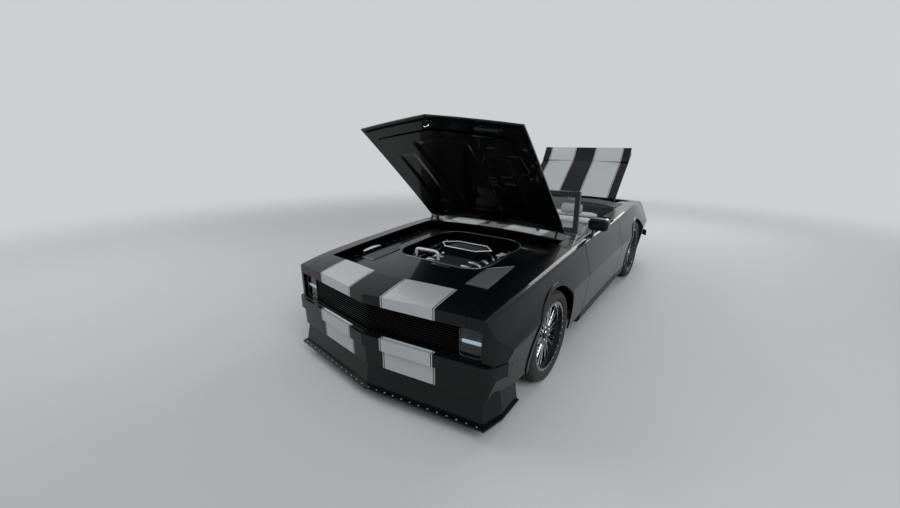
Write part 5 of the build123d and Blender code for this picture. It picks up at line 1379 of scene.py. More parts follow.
    def bracket(self) -> Piece:
        """Small satin bracket beside the air box."""
        plate = prism("bracket", [(1.10, 0.30), (1.185, 0.30), (1.185, 0.33), (1.135, 0.352), (1.10, 0.352)],
                      0.762, 0.770, bevel=0.002)
        posts = [rod("post", (x, 0.315, 0.62), (x, 0.315, 0.776), 0.006, 16) for x in (1.112, 1.172)]
        return merged("polished_bracket", [plate, *posts])

    def blank_plate(self) -> Piece:
        """Bare plate on the cover ahead of the engine."""
        corners = [(1.655, 0.03), (1.690, 0.03), (1.690, 0.19), (1.655, 0.19)]
        z = self.cover(1.672, 0.11)[2]
        return prism("blank_plate", corners, z - 0.001, z + 0.0016, bevel=0.0006)

    def elbow(self) -> Piece:
        """Satin coolant pipe that lies across the engine's front and turns down to its pump."""
        route = [(1.452, -0.330, 0.700), (1.446, -0.326, 0.778), (1.442, -0.290, 0.784),
                 (1.438, -0.150, 0.786),
                 (1.436, -0.106, 0.784), (1.434, -0.100, 0.740), (1.434, -0.100, 0.640)]
        return merged("coolant_elbow", [
            tube("pipe", route, 0.014, 4),
            rod("collar", (1.434, -0.100, 0.660), (1.434, -0.100, 0.684), 0.018, 24),
        ])

    def radiator_cap(self) -> Piece:
        """Pressure cap on the radiator's top tank."""
        profile = [(0.0002, 0.0), (0.030, 0.0), (0.032, 0.006), (0.030, 0.012), (0.014, 0.015),
                   (0.0002, 0.016)]
        return lathe("radiator_cap", (2.015, 0.24, 0.690), profile, UP, 32)

    def cover_screws(self) -> Piece:
        """Screws along the bay cover's outer edge."""
        heads = []
        for i in range(self.screw_count):
            x = 0.90 + 1.0 * i / (self.screw_count - 1)
            for _, side in SIDES:
                heads.append(dome("head", self.cover(x, side * 0.672, -0.0005), 0.0065, 0.003))
        return merged("bay_cover_screws", heads)

    def coil_packs(self) -> Piece:
        """Row of coils along each head cover."""
        parts = []
        for _, side in SIDES:
            y, z, turn = self.on_bank(side, 0.082)
            for i in range(4):
                x = self.cylinder_x(i - 1.5)
                low, high = (x - 0.022, y - 0.03, z - 0.012), (x + 0.022, y + 0.03, z + 0.012)
                parts.append(slab("coil", low, high, 0.004, turn))
        return merged("coil_packs", parts)


def rod(name: str, start: Sequence[float], end: Sequence[float], radius: float, sides: int = 16) -> Piece:
    """Straight round bar between two points."""
    along = Vector(end) - Vector(start)
    profile = [(0.0001, 0.0), (radius, 0.0), (radius, along.length), (0.0001, along.length)]
    return lathe(name, tuple(start), profile, tuple(along), sides)


@dataclass
class Hood:
    """Inner panel of the raised hood, pressed with shallow contours."""

    rear_x: float = 0.800
    front_x: float = 2.108
    half_y: float = 0.700
    border: float = 0.122
    gap: float = 0.0125
    rows: int = 60
    columns: int = 80

    def build(self) -> None:
        """Make and hang the hood's inner pieces."""
        fit(HOOD_HINGE.turn(self.liner()), Surface.BAY_PAINT, "hood")
        fit(HOOD_HINGE.turn(self.striker()), Surface.CHROME, "hood")
        fit(HOOD_HINGE.turn(self.seal()), Surface.SEAL, "hood")

    def relief(self, u: float, v: float) -> float:
        """Depth of the pressed contours at a share u along and v across the panel."""
        def step(value: float) -> float:
            """Smooth step from nothing at 0 to one at 1."""
            share = min(max(value, 0.0), 1.0)
            return share * share * (3 - 2 * share)
        ridge = step((0.34 + 0.10 * u - abs(v)) / 0.05) * step((u - 0.08) / 0.06) * step((0.93 - u) / 0.06)
        wing = (step((0.86 - abs(v)) / 0.05) * step((abs(v) - 0.54) / 0.05)
                * step((u - 0.14) / 0.06) * step((0.82 - u) / 0.06))
        return 0.010 * ridge + 0.007 * wing

    def liner(self) -> Piece:
        """Smooth gloss panel inside the hood's frame."""
        rows = []
        for i in range(self.rows + 1):
            u = i / self.rows
            row = []
            for j in range(self.columns + 1):
                v = 2 * j / self.columns - 1
                y = v * (self.half_y - self.border)
                rear = self.rear_x + self.border
                front = self.front_x - self.border - Form.NOSE_SLOPE * abs(y)
                x = rear + u * (front - rear)
                row.append((x, y, Form.top(x, y) - Form.SKIN - self.gap + self.relief(u, v)))
            rows.append(row)
        return sheet_of("hood_liner", rows, 0.0025)

    def striker(self) -> Piece:
        """Latch loop under the hood's front edge."""
        z = Form.top(2.04, 0.0) - 0.026
        route = [(2.045, -0.02, z), (2.045, -0.02, z - 0.028), (2.045, 0.02, z - 0.028), (2.045, 0.02, z)]
        return tube("hood_striker", route, 0.004, 3)

    def seal(self) -> Piece:
        """Rubber bead along the rear edge of the frame."""
        route = [(0.838, y, Form.top(0.838, y) - 0.029) for y in (-0.60, -0.3, 0.0, 0.3, 0.60)]
        return tube("hood_rear_seal", route, 0.005, 3)


@dataclass
class Screen:
    """Seal, wipers, mirror glass and sun visors round the windshield.

    The screen's foot and head each give a height, x in the middle, x at the corner and the half width.
    """

    foot: tuple[float, ...] = (0.858, 0.622, 0.540, 0.740)
    head: tuple[float, ...] = (1.205, 0.217, 0.168, 0.622)
    foot_z: float = 0.914
    top_z: float = 1.169
    pillar: float = 0.042
    glass_half_y: float = 0.698

    def build(self) -> None:
        """Make and hang every piece round the windshield."""
        fit(self.seal(), Surface.SEAL)
        fit(self.wipers(), Surface.E_COAT)
        fit(self.inner_mirror(), Surface.MIRROR_GLASS)
        for name, side in SIDES:
            fit(self.side_mirror(name, side), Surface.MIRROR_GLASS, f"door_{name}")
        fit(self.visors(), Surface.GREY_HIDE)

    def face(self, share_y: float, z: float, back: float = 0.0) -> Point:
        """Point on the screen's outer face: share_y across it from -1 to 1 at a height."""
        share = (z - self.foot[0]) / (self.head[0] - self.foot[0])
        middle, corner_x, half_y = (a + share * (b - a) for a, b in zip(self.foot[1:], self.head[1:]))
        corner_y = half_y - self.pillar
        return (middle + (corner_x - middle) * share_y ** 2 - back, corner_y * share_y, z)

    def seal(self) -> Piece:
        """Rubber round the glass."""
        steps = 16
        shares = [-1 + 2 * i / steps for i in range(steps + 1)]
        loop = [self.face(s, self.foot_z + 0.002, 0.013) for s in shares]
        loop += [self.face(s, self.top_z - 0.002, 0.013) for s in reversed(shares)]
        return outline_tube("windshield_seal", loop, 0.004)

    def wipers(self) -> Piece:
        """Two arms parked along the foot of the glass, each with its blade."""
        parts = []
        for pivot_y in (0.42, -0.10):
            foot = (0.640, pivot_y, Form.top(0.640, pivot_y) + 0.002)
            share = (pivot_y - 0.22) / self.glass_half_y
            knee = Vector(self.face(share, 0.926, -0.010))
            parts.append(dome("boss", foot, 0.016, 0.014))
            bend = [(foot[0], foot[1], foot[2] + 0.010), (0.63, pivot_y - 0.06, knee.z), tuple(knee)]
            parts.append(tube("arm", bend, 0.0045, 2))
            shares = [(pivot_y - d) / self.glass_half_y for d in (0.02, 0.18, 0.34, 0.47)]
            spots = [self.face(share, 0.9225, -0.006) for share in shares]
            parts.append(tube("blade", spots, 0.005, 2))
        return merged("wipers", parts)

    def inner_mirror(self) -> Piece:
        """Glass of the rear-view mirror."""
        outline = [(y, 1.145 + z) for y, z in rounded(0.108, 0.025, 0.014)]
        return prism("rear_view_glass", outline, 0.1168, 0.1178, axis="x")

    def side_mirror(self, name: str, side: int) -> Piece:
        """Glass of a door mirror."""
        base = Form.top(0.470, 0.845) - Form.SKIN + 0.072 + 0.052
        outline = [(side * (0.895 + y), base + z) for y, z in rounded(0.066, 0.036, 0.026)]
        return prism(f"mirror_glass_{name}", outline, 0.4318, 0.4328, axis="x")

    def visors(self) -> Piece:
        """Sun visors folded against the header."""
        parts = []
        for _, side in SIDES:
            low, high = sorted((side * 0.16, side * 0.50))
            turn = Matrix.Rotation(math.radians(-40), 3, "Y")
            corners = (0.150 - 0.055, low, 1.150), (0.150 + 0.055, high, 1.164)
            parts.append(slab("visor", *corners, 0.006, turn))
        return merged("sun_visors", parts)


@dataclass
class Tail:
    """Lamps' bezels, exhaust tips and the like at the rear."""

    lamp_y: tuple[float, ...] = (0.400, 0.528, 0.656)
    lamp_z: float = 0.655
    tail_x: float = -2.352
    tip_y: float = 0.450
    tip_z: float = 0.208

    def build(self) -> None:
        """Make and hang every piece of the tail."""
        fit(self.bezels(), Surface.CHROME)
        fit(self.lens_ribs(), Surface.RED_LENS)
        fit(self.tips(), Surface.CHROME)
        fit(self.bores(), Surface.E_COAT)
        fit(LID_HINGE.turn(self.lid_liner()), Surface.CARPET, "trunk_lid")
        fit(self.trunk_seal(), Surface.SEAL)
        for name, side in SIDES:
            fit(self.trunk_well(name, side), Surface.CARPET)

    def bezels(self) -> Piece:
        """Thin bright frame round each tail lamp."""
        frames = []
        outline = rounded(0.0565, 0.0425, 0.014)
        for _, side in SIDES:
            for y in self.lamp_y:
                corners = [(self.tail_x + 0.001, side * y + a, self.lamp_z + b) for a, b in outline]
                frames.append(outline_tube("frame", corners, 0.0028))
        return merged("tail_lamp_bezels", frames)

    def lens_ribs(self) -> Piece:
        """Level ribs moulded on each lens."""
        ribs = []
        for _, side in SIDES:
            for y in self.lamp_y:
                for i in range(7):
                    z = self.lamp_z + (i - 3) * 0.0105
                    half = 0.046 if abs(i - 3) == 3 else 0.051
                    ends = [(self.tail_x + 0.0022, side * y + across, z) for across in (-half, half)]
                    ribs.append(rod("rib", *ends, 0.0032, 10))
        return merged("tail_lamp_ribs", ribs)

    def tips(self) -> Piece:
        """Rolled bright tips over the exhaust's ends."""
        parts = []
        for _, side in SIDES:
            profile = [
                (0.0302, -0.100), (0.040, -0.100), (0.042, -0.060), (0.0425, 0.004), (0.0405, 0.008),
                (0.037, 0.004), (0.036, -0.002), (0.0302, -0.004),
            ]
            parts.append(lathe("tip", (-2.352, side * self.tip_y, self.tip_z), profile, REARWARD, 48))
        return merged("exhaust_tips", parts)

    def bores(self) -> Piece:
        """Dark discs across the exhaust's mouths: painted shade of the open pipes, and their soot."""
        parts = []
        for _, side in SIDES:
            profile = [(0.0001, 0.0), (0.0298, 0.0), (0.0298, 0.0012), (0.0001, 0.0012)]
            parts.append(lathe("mouth", (-2.350, side * self.tip_y, self.tip_z), profile, REARWARD, 32))
        return merged("exhaust_mouths", parts)

    def lid_liner(self) -> Piece:
        """Trimmed panel inside the trunk lid's frame."""
        rows = []
        places = [-0.492 + 0.984 * j / 24 for j in range(25)]
        for i in range(17):
            x = -1.450 - 0.114 - (0.835 - 0.228) * i / 16
            rows.append([(x, y, Form.top(x, y) - Form.SKIN - 0.004) for y in places])
        return sheet_of("lid_liner", rows, 0.003)

    def trunk_well(self, name: str, side: int) -> Piece:
        """Carpeted floor of the well behind a rear wheel."""
        corners = [(-1.742, 0.540), (-2.338, 0.540), (-2.338, 0.792), (-1.742, 0.806)]
        return prism(f"trunk_well_{name}", [(x, side * y) for x, y in corners], 0.322, 0.334, bevel=0.002)

    def trunk_seal(self) -> Piece:
        """Rubber lip round the trunk's opening."""
        outline = []
        for x, y in rounded(0.425, 0.632, 0.05, 6):
            px = -1.872 + x
            outline.append((px, y, Form.top(px, y) - 0.022))
        return outline_tube("trunk_seal", outline, 0.005)


@dataclass
class Upholstery:
    """Foam under hide: blown up by cloth simulation, then seamed and channelled."""

    voxel: float = 0.009
    pressure: float = 4.0
    frames: int = 20
    channel_pitch: float = 0.050
    channel_depth: float = 0.008
    channel_width: float = 0.006

    def puffed(self, piece: Piece, cap: float, soften: int = 10) -> Piece:
        """Blow a closed form up like a cushion.

        Args:
            piece: Closed form, a little smaller than the finished pad.
            cap: Furthest that any point may move, in metres.
            soften: Rounds of smoothing before it is blown up.

        Returns:
            The pad, one subdivision finer.
        """
        remesh = piece.modifiers.new("remesh", "REMESH")
        remesh.mode = "VOXEL"
        remesh.voxel_size = self.voxel
        smooth = piece.modifiers.new("smooth", "SMOOTH")
        smooth.iterations = soften
        piece = baked(piece)
        self.blow(piece, cap)
        rounder = piece.modifiers.new("finer", "SUBSURF")
        rounder.levels = rounder.render_levels = 1
        return baked(piece)

    def blow(self, piece: Piece, cap: float) -> None:
        """Run the cloth under pressure and keep its result, each point capped."""
        cloth = piece.modifiers.new("cloth", "CLOTH")
        cloth.settings.use_pressure = True
        cloth.settings.uniform_pressure_force = self.pressure
        cloth.settings.effector_weights.gravity = 0.0
        for frame_number in range(1, self.frames + 1):
            bpy.context.scene.frame_set(frame_number)
        seen = piece.evaluated_get(bpy.context.evaluated_depsgraph_get())
        moved = [corner.co.copy() for corner in seen.data.vertices]
        piece.modifiers.remove(cloth)
        bpy.context.scene.frame_set(1)
        for corner, place in zip(piece.data.vertices, moved):
            shift = place - corner.co
            if shift.length > cap:
                shift *= cap / shift.length
            corner.co += shift

    def carve(self, piece: Piece, depth_at: Callable[[Vector, Vector], float]) -> Piece:
        """Press seams and channels into a pad.

        Args:
            piece: Pad to press.
            depth_at: Depth at a point with its outward direction.

        Returns:
            The same pad.
        """
        mesh = piece.data
        moves = [(corner.co.copy(), corner.normal.copy()) for corner in mesh.vertices]
        for corner, (place, out) in zip(mesh.vertices, moves):
            corner.co = place - out * depth_at(place, out)
        mesh.update()
        mesh.shade_smooth()
        return piece

    def channel(self, offset: float) -> float:
        """Depth of the row of channels at a distance from the middle one."""
        near = offset - round(offset / self.channel_pitch) * self.channel_pitch
        return self.channel_depth * math.exp(-(near / self.channel_width) ** 2)

    def groove(self, offset: float, depth: float = 0.006) -> float:
        """Depth of one seam at a distance from it."""
        return depth * math.exp(-(offset / self.channel_width) ** 2)


def softened(corners: Sequence[Flat], steps: int = 3) -> list[Flat]:
    """Outline with its corners cut round, by halving them a few times."""
    outline = list(corners)
    for _ in range(steps):
        finer = []
        for (ax, az), (bx, bz) in zip(outline, outline[1:] + outline[:1]):
            finer.append((0.75 * ax + 0.25 * bx, 0.75 * az + 0.25 * bz))
            finer.append((0.25 * ax + 0.75 * bx, 0.25 * az + 0.75 * bz))
        outline = finer
    return outline


@dataclass
class Seats:
    """Two front seats and the rear bench, in pleated hide with pale rolls."""

    side_y: float = 0.375
    half: float = 0.228
    bench_half: float = 0.522
    bolster: float = 0.62
    seam_pitch: float = 0.175
    cushion: tuple[Flat, ...] = (
        (0.200, 0.290), (0.204, 0.400), (0.150, 0.424), (-0.160, 0.392), (-0.285, 0.386), (-0.285, 0.270),
        (0.150, 0.270),
    )
    back: tuple[Flat, ...] = (
        (-0.300, 0.330), (-0.205, 0.425), (-0.266, 0.640), (-0.336, 0.790), (-0.416, 0.800), (-0.436, 0.790),
        (-0.398, 0.560), (-0.372, 0.340),
    )
    bench: tuple[Flat, ...] = ((-0.548, 0.262), (-0.545, 0.392), (-0.800, 0.376), (-0.842, 0.300),
                               (-0.842, 0.262))
    bench_back: tuple[Flat, ...] = (
        (-0.812, 0.392), (-0.856, 0.560), (-0.925, 0.768), (-1.006, 0.772), (-1.006, 0.400), (-0.880, 0.392),
    )
    upholstery: Upholstery = field(default_factory=Upholstery)

    def build(self) -> None:
        """Make and hang every piece of the seats."""
        cushion, back = self.front_cushion(), self.front_back()
        rest = self.head_rest()
        roll = self.roll("left", self.side_y, self.half, -0.394, 0.826, 0.036)
        posts = self.posts()
        for piece, surface, fill in (
            (cushion, Surface.GREY_HIDE, 0.8), (back, Surface.GREY_HIDE, 0.8), (rest, Surface.GREY_HIDE, 0.8),
            (roll, Surface.PALE_HIDE, 0.8), (posts, Surface.CHROME, None),
        ):
            other = mirrored(piece, piece.name.replace("left", "right"))
            for made in (piece, other):
                fit(made, surface, BODY, ["front_seats"])
        for piece, surface in (
            (self.bench_cushion(), Surface.GREY_HIDE), (self.bench_rest(), Surface.GREY_HIDE),
            (self.roll("bench", 0.0, self.bench_half, -0.966, 0.794, 0.034), Surface.PALE_HIDE),
        ):
            fit(piece, surface, BODY, ["rear_seat"])
        fit(self.riser(), Surface.CARPET, BODY, ["rear_seat"])

    def loft(self, name: str, outline: Sequence[Flat], middle: float, half: float,
             hump: Callable[[float], float], ends: float = 0.10) -> Piece:
        """Closed form across the car from a side outline.

        Args:
            name: Name of the piece.
            outline: Corners as (x, z).
            middle: y of its middle.
            half: Half width.
            hump: Growth of the outline, in metres, at a share across from -1 to 1.
            ends: Share by which the outline shrinks at both ends.

        Returns:
            The form.
        """
        curve = softened(outline, 2)
        centre = (sum(p[0] for p in curve) / len(curve), sum(p[1] for p in curve) / len(curve))
        rings = []
        count = 24
        for i in range(count + 1):
            share = 2 * i / count - 1
            size = 1 - ends * abs(share) ** 8
            ring = []
            for x, z in curve:
                away = Vector((x - centre[0], z - centre[1]))
                grown = away * size + away.normalized() * hump(share)
                ring.append((centre[0] + grown.x, middle + half * share, centre[1] + grown.y))
            rings.append(ring)
        return skin(name, rings)

    def bolsters(self, share: float) -> float:
        """Raised sides and a sunk middle of a seat."""
        side = math.exp(-((abs(share) - 0.80) / 0.13) ** 2)
        return 0.006 * side - 0.014 * (1 - side) * (abs(share) < 0.80)

    def panel(self, share: float, along: float) -> float:
        """Depth of the pleats and the seam round them on a seat's panel."""
        pad = self.upholstery
        inside = abs(share) < self.bolster and 0.06 < along < 0.90
        depth = pad.channel(share * self.half) if inside else 0.0
        near_side = (abs(share) - self.bolster) * self.half
        edge = pad.groove(near_side) if 0.04 < along < 0.92 else 0.0
        for end in (0.06, 0.90):
            if abs(share) < self.bolster:
                edge = max(edge, pad.groove((along - end) * 0.45))
        return max(depth, edge)

    def front_cushion(self) -> Piece:
        """Left front cushion."""
        form = self.loft("seat_cushion_left", self.cushion, self.side_y, self.half, self.bolsters)
        pad = self.upholstery.puffed(form, 0.010)

        def depth(place: Vector, out: Vector) -> float:
            """Pleats on the upper face, and a welt round the edge."""
            share = (place.y - self.side_y) / self.half
            along = (place.x + 0.285) / 0.490
            top = self.panel(share, along) * max(out.z, 0.0)
            return top + self.upholstery.groove(place.z - 0.345, 0.004) * (1 - abs(out.z))
        return self.upholstery.carve(pad, depth)

    def front_back(self) -> Piece:
        """Left front backrest."""
        form = self.loft("seat_back_left", self.back, self.side_y, self.half - 0.012, self.bolsters)
        pad = self.upholstery.puffed(form, 0.010)

        def depth(place: Vector, out: Vector) -> float:
            """Pleats on the front face, and a welt round the side."""
            share = (place.y - self.side_y) / (self.half - 0.012)
            along = (place.z - 0.40) / 0.40
            front = self.panel(share, along) * max(out.x, 0.0)
            middle_x = -0.318 - 0.22 * (place.z - 0.55)
            return front + self.upholstery.groove(place.x - middle_x, 0.004) * abs(out.y)
        return self.upholstery.carve(pad, depth)

    def head_rest(self) -> Piece:
        """Left head rest."""
        outline = ((-0.386, 0.892), (-0.358, 0.906), (-0.386, 0.996), (-0.418, 1.004), (-0.442, 0.996),
                   (-0.434, 0.904))
        form = self.loft("head_rest_left", outline, self.side_y, 0.118, lambda share: 0.0, 0.3)
        return self.upholstery.puffed(form, 0.006, 6)

    def posts(self) -> Piece:
        """Bright posts under the left head rest."""
        bars = [
            rod("post", (-0.396, self.side_y + d, 0.84), (-0.402, self.side_y + d, 0.905), 0.006, 20)
            for d in (-0.05, 0.05)
        ]
        return merged("head_rest_posts_left", bars)

    def roll(self, name: str, middle: float, half: float, x: float, z: float, radius: float) -> Piece:
        """Pale padded roll along the top of a backrest, seamed every few inches."""
        ring_count, around = 72, 28
        rings = []
        for i in range(ring_count + 1):
            share = 2 * i / ring_count - 1
            y = middle + share * half
            end = (1 - abs(share) ** 14) ** 0.5 if abs(share) < 1 else 0.02
            off_seam = y / self.seam_pitch - round(y / self.seam_pitch)
            size = radius * max(end, 0.05) * (1 - 0.06 * math.exp(-(off_seam / 0.03) ** 2))
            rings.append([
                (x + size * math.cos(2 * math.pi * j / around) * 1.05, y,
                 z + size * math.sin(2 * math.pi * j / around))
                for j in range(around)
            ])
        return skin(f"seat_roll_{name}", rings)

    def bench_cushion(self) -> Piece:
        """Cushion of the rear bench, with two hollows."""
        form = self.loft("bench_cushion", self.bench, 0.0, self.bench_half, self.hollows, 0.06)
        pad = self.upholstery.puffed(form, 0.010)

        def depth(place: Vector, out: Vector) -> float:
            """Pleats on the upper face."""
            along = (place.x + 0.842) / 0.297
            return self.bench_panel(place.y, along) * max(out.z, 0.0)
        return self.upholstery.carve(pad, depth)

    def bench_rest(self) -> Piece:
        """Backrest of the rear bench."""
        form = self.loft("bench_back", self.bench_back, 0.0, self.bench_half, self.hollows, 0.06)
        pad = self.upholstery.puffed(form, 0.010)

        def depth(place: Vector, out: Vector) -> float:
            """Pleats on the front face."""
            along = (place.z - 0.38) / 0.40
            return self.bench_panel(place.y, along) * max(out.x, 0.0)
        return self.upholstery.carve(pad, depth)

    def hollows(self, share: float) -> float:
        """Sunk middle of each of the two places."""
        return -0.014 * math.exp(-((abs(share) - 0.5) / 0.26) ** 4)

    def bench_panel(self, y: float, along: float) -> float:
        """Depth of the pleats and seams of one place of the bench."""
        pad = self.upholstery
        off = abs(y) - self.bench_half / 2
        inside = abs(off) < 0.19 and 0.08 < along < 0.92
        depth = pad.channel(off) if inside else 0.0
        edge = pad.groove(abs(off) - 0.19) if 0.06 < along < 0.94 else 0.0
        return max(depth, edge, pad.groove(y))

    def riser(self) -> Piece:
        """Carpeted box under the bench and behind its back."""
        walls = []
        for low, high in ((-self.bench_half, -0.134), (0.134, self.bench_half)):
            corners = [(-0.562, 0.165), (-0.556, 0.300), (-1.020, 0.300), (-1.020, 0.165)]
            walls.append(prism("box", corners, low, high, "y", 0.006))
        corners = [(-0.60, 0.332), (-0.60, 0.345), (-1.020, 0.345), (-1.020, 0.332)]
        walls.append(prism("bridge", corners, -0.15, 0.15, "y", 0.004))
        corners = [(-0.985, 0.30), (-1.000, 0.826), (-1.026, 0.826), (-1.026, 0.30)]
        walls.append(prism("rear", corners, -self.bench_half, self.bench_half, "y", 0.006))
        return merged("bench_base", walls)


@dataclass
class Cabin:
    """Dials, lever, pedals, mats, door cards and the wheel's pad.

    Each pedal pad gives its middle's y, half its width and its height.
    """

    dial_y: tuple[Flat, ...] = ((0.320, 0.036), (0.430, 0.036), (0.242, 0.020), (0.508, 0.020))
    dial_z: float = 0.826
    dial_x: float = 0.3800
    tick_count: int = 11
    outlet_z: float = 0.752
    pedal_pads: tuple[Point, ...] = ((0.490, 0.030, 0.060), (0.390, 0.036, 0.060), (0.285, 0.024, 0.110))
    wheel_centre: Point = (0.292, 0.375, 0.742)
    wheel_tilt: float = 24.0

    def build(self) -> None:
        """Make and hang every piece of the cabin."""
        fit(self.dial_rims(), Surface.CHROME)
        fit(self.dial_faces(), Surface.DIAL)
        fit(self.dial_marks(), Surface.DIAL_MARK)
        fit(self.dash_vents(), Surface.ANODISED_BLACK)
        fit(self.dash_trim(), Surface.POLISHED)
        fit(self.lever(), Surface.POLISHED)
        fit(self.lever_boot(), Surface.DARK_HIDE)
        fit(self.lever_knob(), Surface.ANODISED_BLACK)
        fit(self.pedals(), Surface.RUBBER)
        fit(self.pedal_arms(), Surface.STAINLESS)
        fit(self.horn_pad(), Surface.VINYL, "steering_wheel")
        fit(self.stalks(), Surface.VINYL)
        for name, side in SIDES:
            door = f"door_{name}"
            fit(self.mat(name, side), Surface.CARPET)
            fit(self.quarter_trim(name, side), Surface.DARK_HIDE)
            fit(self.side_box(name, side), Surface.GREY_HIDE)
            fit(self.belt(name, side), Surface.BELT)
            fit(self.door_card(name, side), Surface.DARK_HIDE, door)
            fit(self.door_pleats(name, side), Surface.GREY_HIDE, door)
            fit(self.door_top(name, side), Surface.PALE_HIDE, door)
            fit(self.belt_seals(name, side), Surface.SEAL, door)
            fit(self.door_pull(name, side), Surface.POLISHED, door)
            fit(self.arm_rest(name, side), Surface.DARK_HIDE, door)

    def dial_rims(self) -> Piece:
        """Bright rim of each dial."""
        rims = []
        for y, r in self.dial_y:
            profile = [(r - 0.003, 0.0), (r + 0.001, -0.001), (r + 0.0015, 0.004), (r - 0.0005, 0.0065),
                       (r - 0.003, 0.005)]
            rims.append(lathe("rim", (self.dial_x, y, self.dial_z), profile, REARWARD, 40))
        return merged("dial_rims", rims)

    def dial_faces(self) -> Piece:
        """Dark face of each dial."""
        faces = []
        for y, r in self.dial_y:
            profile = [(0.0001, 0.0), (r - 0.002, 0.0), (r - 0.002, 0.003), (0.0001, 0.0032)]
            faces.append(lathe("face", (self.dial_x, y, self.dial_z), profile, REARWARD, 40))
        return merged("dial_faces", faces)

    def dial_marks(self) -> Piece:
        """Plain ticks and a needle on each dial."""
        marks = []
        for y, r in self.dial_y:
            for i in range(self.tick_count):
                angle = math.radians(-130 + 260 * i / (self.tick_count - 1))
                across, up = math.sin(angle), math.cos(angle)
                ends = [
                    (self.dial_x - 0.0036, y - across * d, self.dial_z + up * d) for d in (r * 0.72, r * 0.88)
                ]
                marks.append(rod("tick", ends[0], ends[1], 0.0006, 6))
            ends = [(self.dial_x - 0.0040, y + d * 0.7, self.dial_z + d * 0.5) for d in (-r * 0.12, r * 0.72)]
            marks.append(rod("needle", ends[0], ends[1], 0.0007, 6))
        return merged("dial_marks", marks)

    def dash_vents(self) -> Piece:
        """Air outlets with level blades."""
        parts = []
        for y in (-0.640, -0.085, 0.085, 0.640):
            outline = [(y + a, self.outlet_z + b) for a, b in rounded(0.052, 0.026, 0.010)]
            corners = [(0.3945, a, b) for a, b in outline]
            parts.append(outline_tube("frame", corners, 0.003))
            for i in range(5):
                z = self.outlet_z + (i - 2) * 0.0092
                low, high = (0.389, y - 0.049, z - 0.0012), (0.396, y + 0.049, z + 0.0012)
                parts.append(slab("blade", low, high, 0.0005))
        return merged("dash_vents", parts)

    def dash_trim(self) -> Piece:
        """Polished line along the dashboard and round the glove box."""
        line = rod("line", (0.3942, -0.73, 0.712), (0.3942, 0.73, 0.712), 0.0022, 12)
        outline = [(0.3946, -0.36 + a, self.outlet_z + b) for a, b in rounded(0.180, 0.030, 0.008)]
        return merged("dash_trim", [line, outline_tube("box", outline, 0.0012)])

    def lever(self) -> Piece:
        """Shift lever."""
        return tube("shift_lever", [(0.060, 0.0, 0.425), (0.058, 0.0, 0.50), (0.044, 0.0, 0.575)], 0.006, 4)

    def lever_boot(self) -> Piece:
        """Folded hide boot round the lever."""
        profile = [
            (0.0001, 0.0), (0.052, 0.0), (0.054, 0.006), (0.044, 0.014), (0.046, 0.022), (0.034, 0.030),
            (0.035, 0.038), (0.022, 0.046), (0.020, 0.056), (0.009, 0.070), (0.0001, 0.070),
        ]
        return lathe("shift_boot", (0.060, 0.0, 0.4195), profile, UP, 40)

    def lever_knob(self) -> Piece:
        """Round knob on the lever."""
        turns = [math.radians(a) for a in range(-60, 90, 15)]
        profile = [(0.0001, -0.022), *((0.024 * math.cos(a), 0.024 * math.sin(a)) for a in turns),
                   (0.0001, 0.024)]
        return lathe("shift_knob", (0.042, 0.0, 0.590), profile, UP, 32)

    def pedals(self) -> Piece:
        """Three rubber pads."""
        turn = Matrix.Rotation(math.radians(-35), 3, "Y")
        pads = [
            slab("pad", (0.548, y - w, 0.262), (0.560, y + w, 0.262 + h), 0.004, turn)
            for y, w, h in self.pedal_pads
        ]
        return merged("pedal_pads", pads)

    def pedal_arms(self) -> Piece:
        """Steel arms that hang the pedals from under the dashboard."""
        arms = [
            tube("arm", [(0.560, y, 0.30), (0.600, y, 0.40), (0.612, y, 0.52), (0.600, y, 0.60)], 0.007, 3)
            for y, _, _ in self.pedal_pads
        ]
        return merged("pedal_arms", arms)

    def facing(self) -> Vector:
        """Direction from the steering wheel to the driver."""
        tilt = math.radians(self.wheel_tilt)
        return Vector((-math.cos(tilt), 0.0, math.sin(tilt)))

    def horn_pad(self) -> Piece:
        """Bare domed pad at the wheel's middle."""
        profile = [(0.0001, -0.004), (0.040, -0.004), (0.041, 0.006), (0.034, 0.014), (0.018, 0.018),
                   (0.0001, 0.019)]
        return lathe("horn_pad", self.wheel_centre, profile, tuple(self.facing()), 40)

    def stalks(self) -> Piece:
        """Two stalks on the steering column."""
        back = self.facing()
        root = Vector(self.wheel_centre) - back * 0.085
        arms = []
        for side in (1, -1):
            start = root + Vector((0.0, side * 0.030, 0.0))
            end = root + Vector((-0.012, side * 0.150, 0.014))
            arms.append(rod("stalk", start, end, 0.005, 14))
            arms.append(rod("tip", end, end + Vector((0.0, side * 0.028, 0.0)), 0.0085, 14))
        return merged("column_stalks", arms)

    def mat(self, name: str, side: int) -> Piece:
        """Moulded carpet over one side of the floor."""
        corners = [(0.625, 0.136), (0.625, 0.700), (-0.520, 0.770), (-0.520, 0.136)]
        return prism(f"cabin_carpet_{name}", [(x, side * y) for x, y in corners], 0.1642, 0.172, bevel=0.002)

    def quarter_trim(self, name: str, side: int) -> Piece:
        """Trimmed panel beside the bench, cut round the wheelhouse."""
        outline = [(-0.500, 0.300), (-0.900, 0.300), (-0.900, 0.420), (-0.925, 0.510), (-0.965, 0.595),
                   (-1.018, 0.655), (-1.018, 0.862), (-0.500, 0.844)]
        low, high = sorted((side * 0.765, side * 0.778))
        return prism(f"quarter_trim_{name}", outline, low, high, "y", 0.003)

    def side_box(self, name: str, side: int) -> Piece:
        """Padded arm rest between the bench and the car's side."""
        low, high = sorted((side * 0.534, side * 0.764))
        return slab(f"side_arm_rest_{name}", (-0.895, low, 0.300), (-0.520, high, 0.575), 0.022)

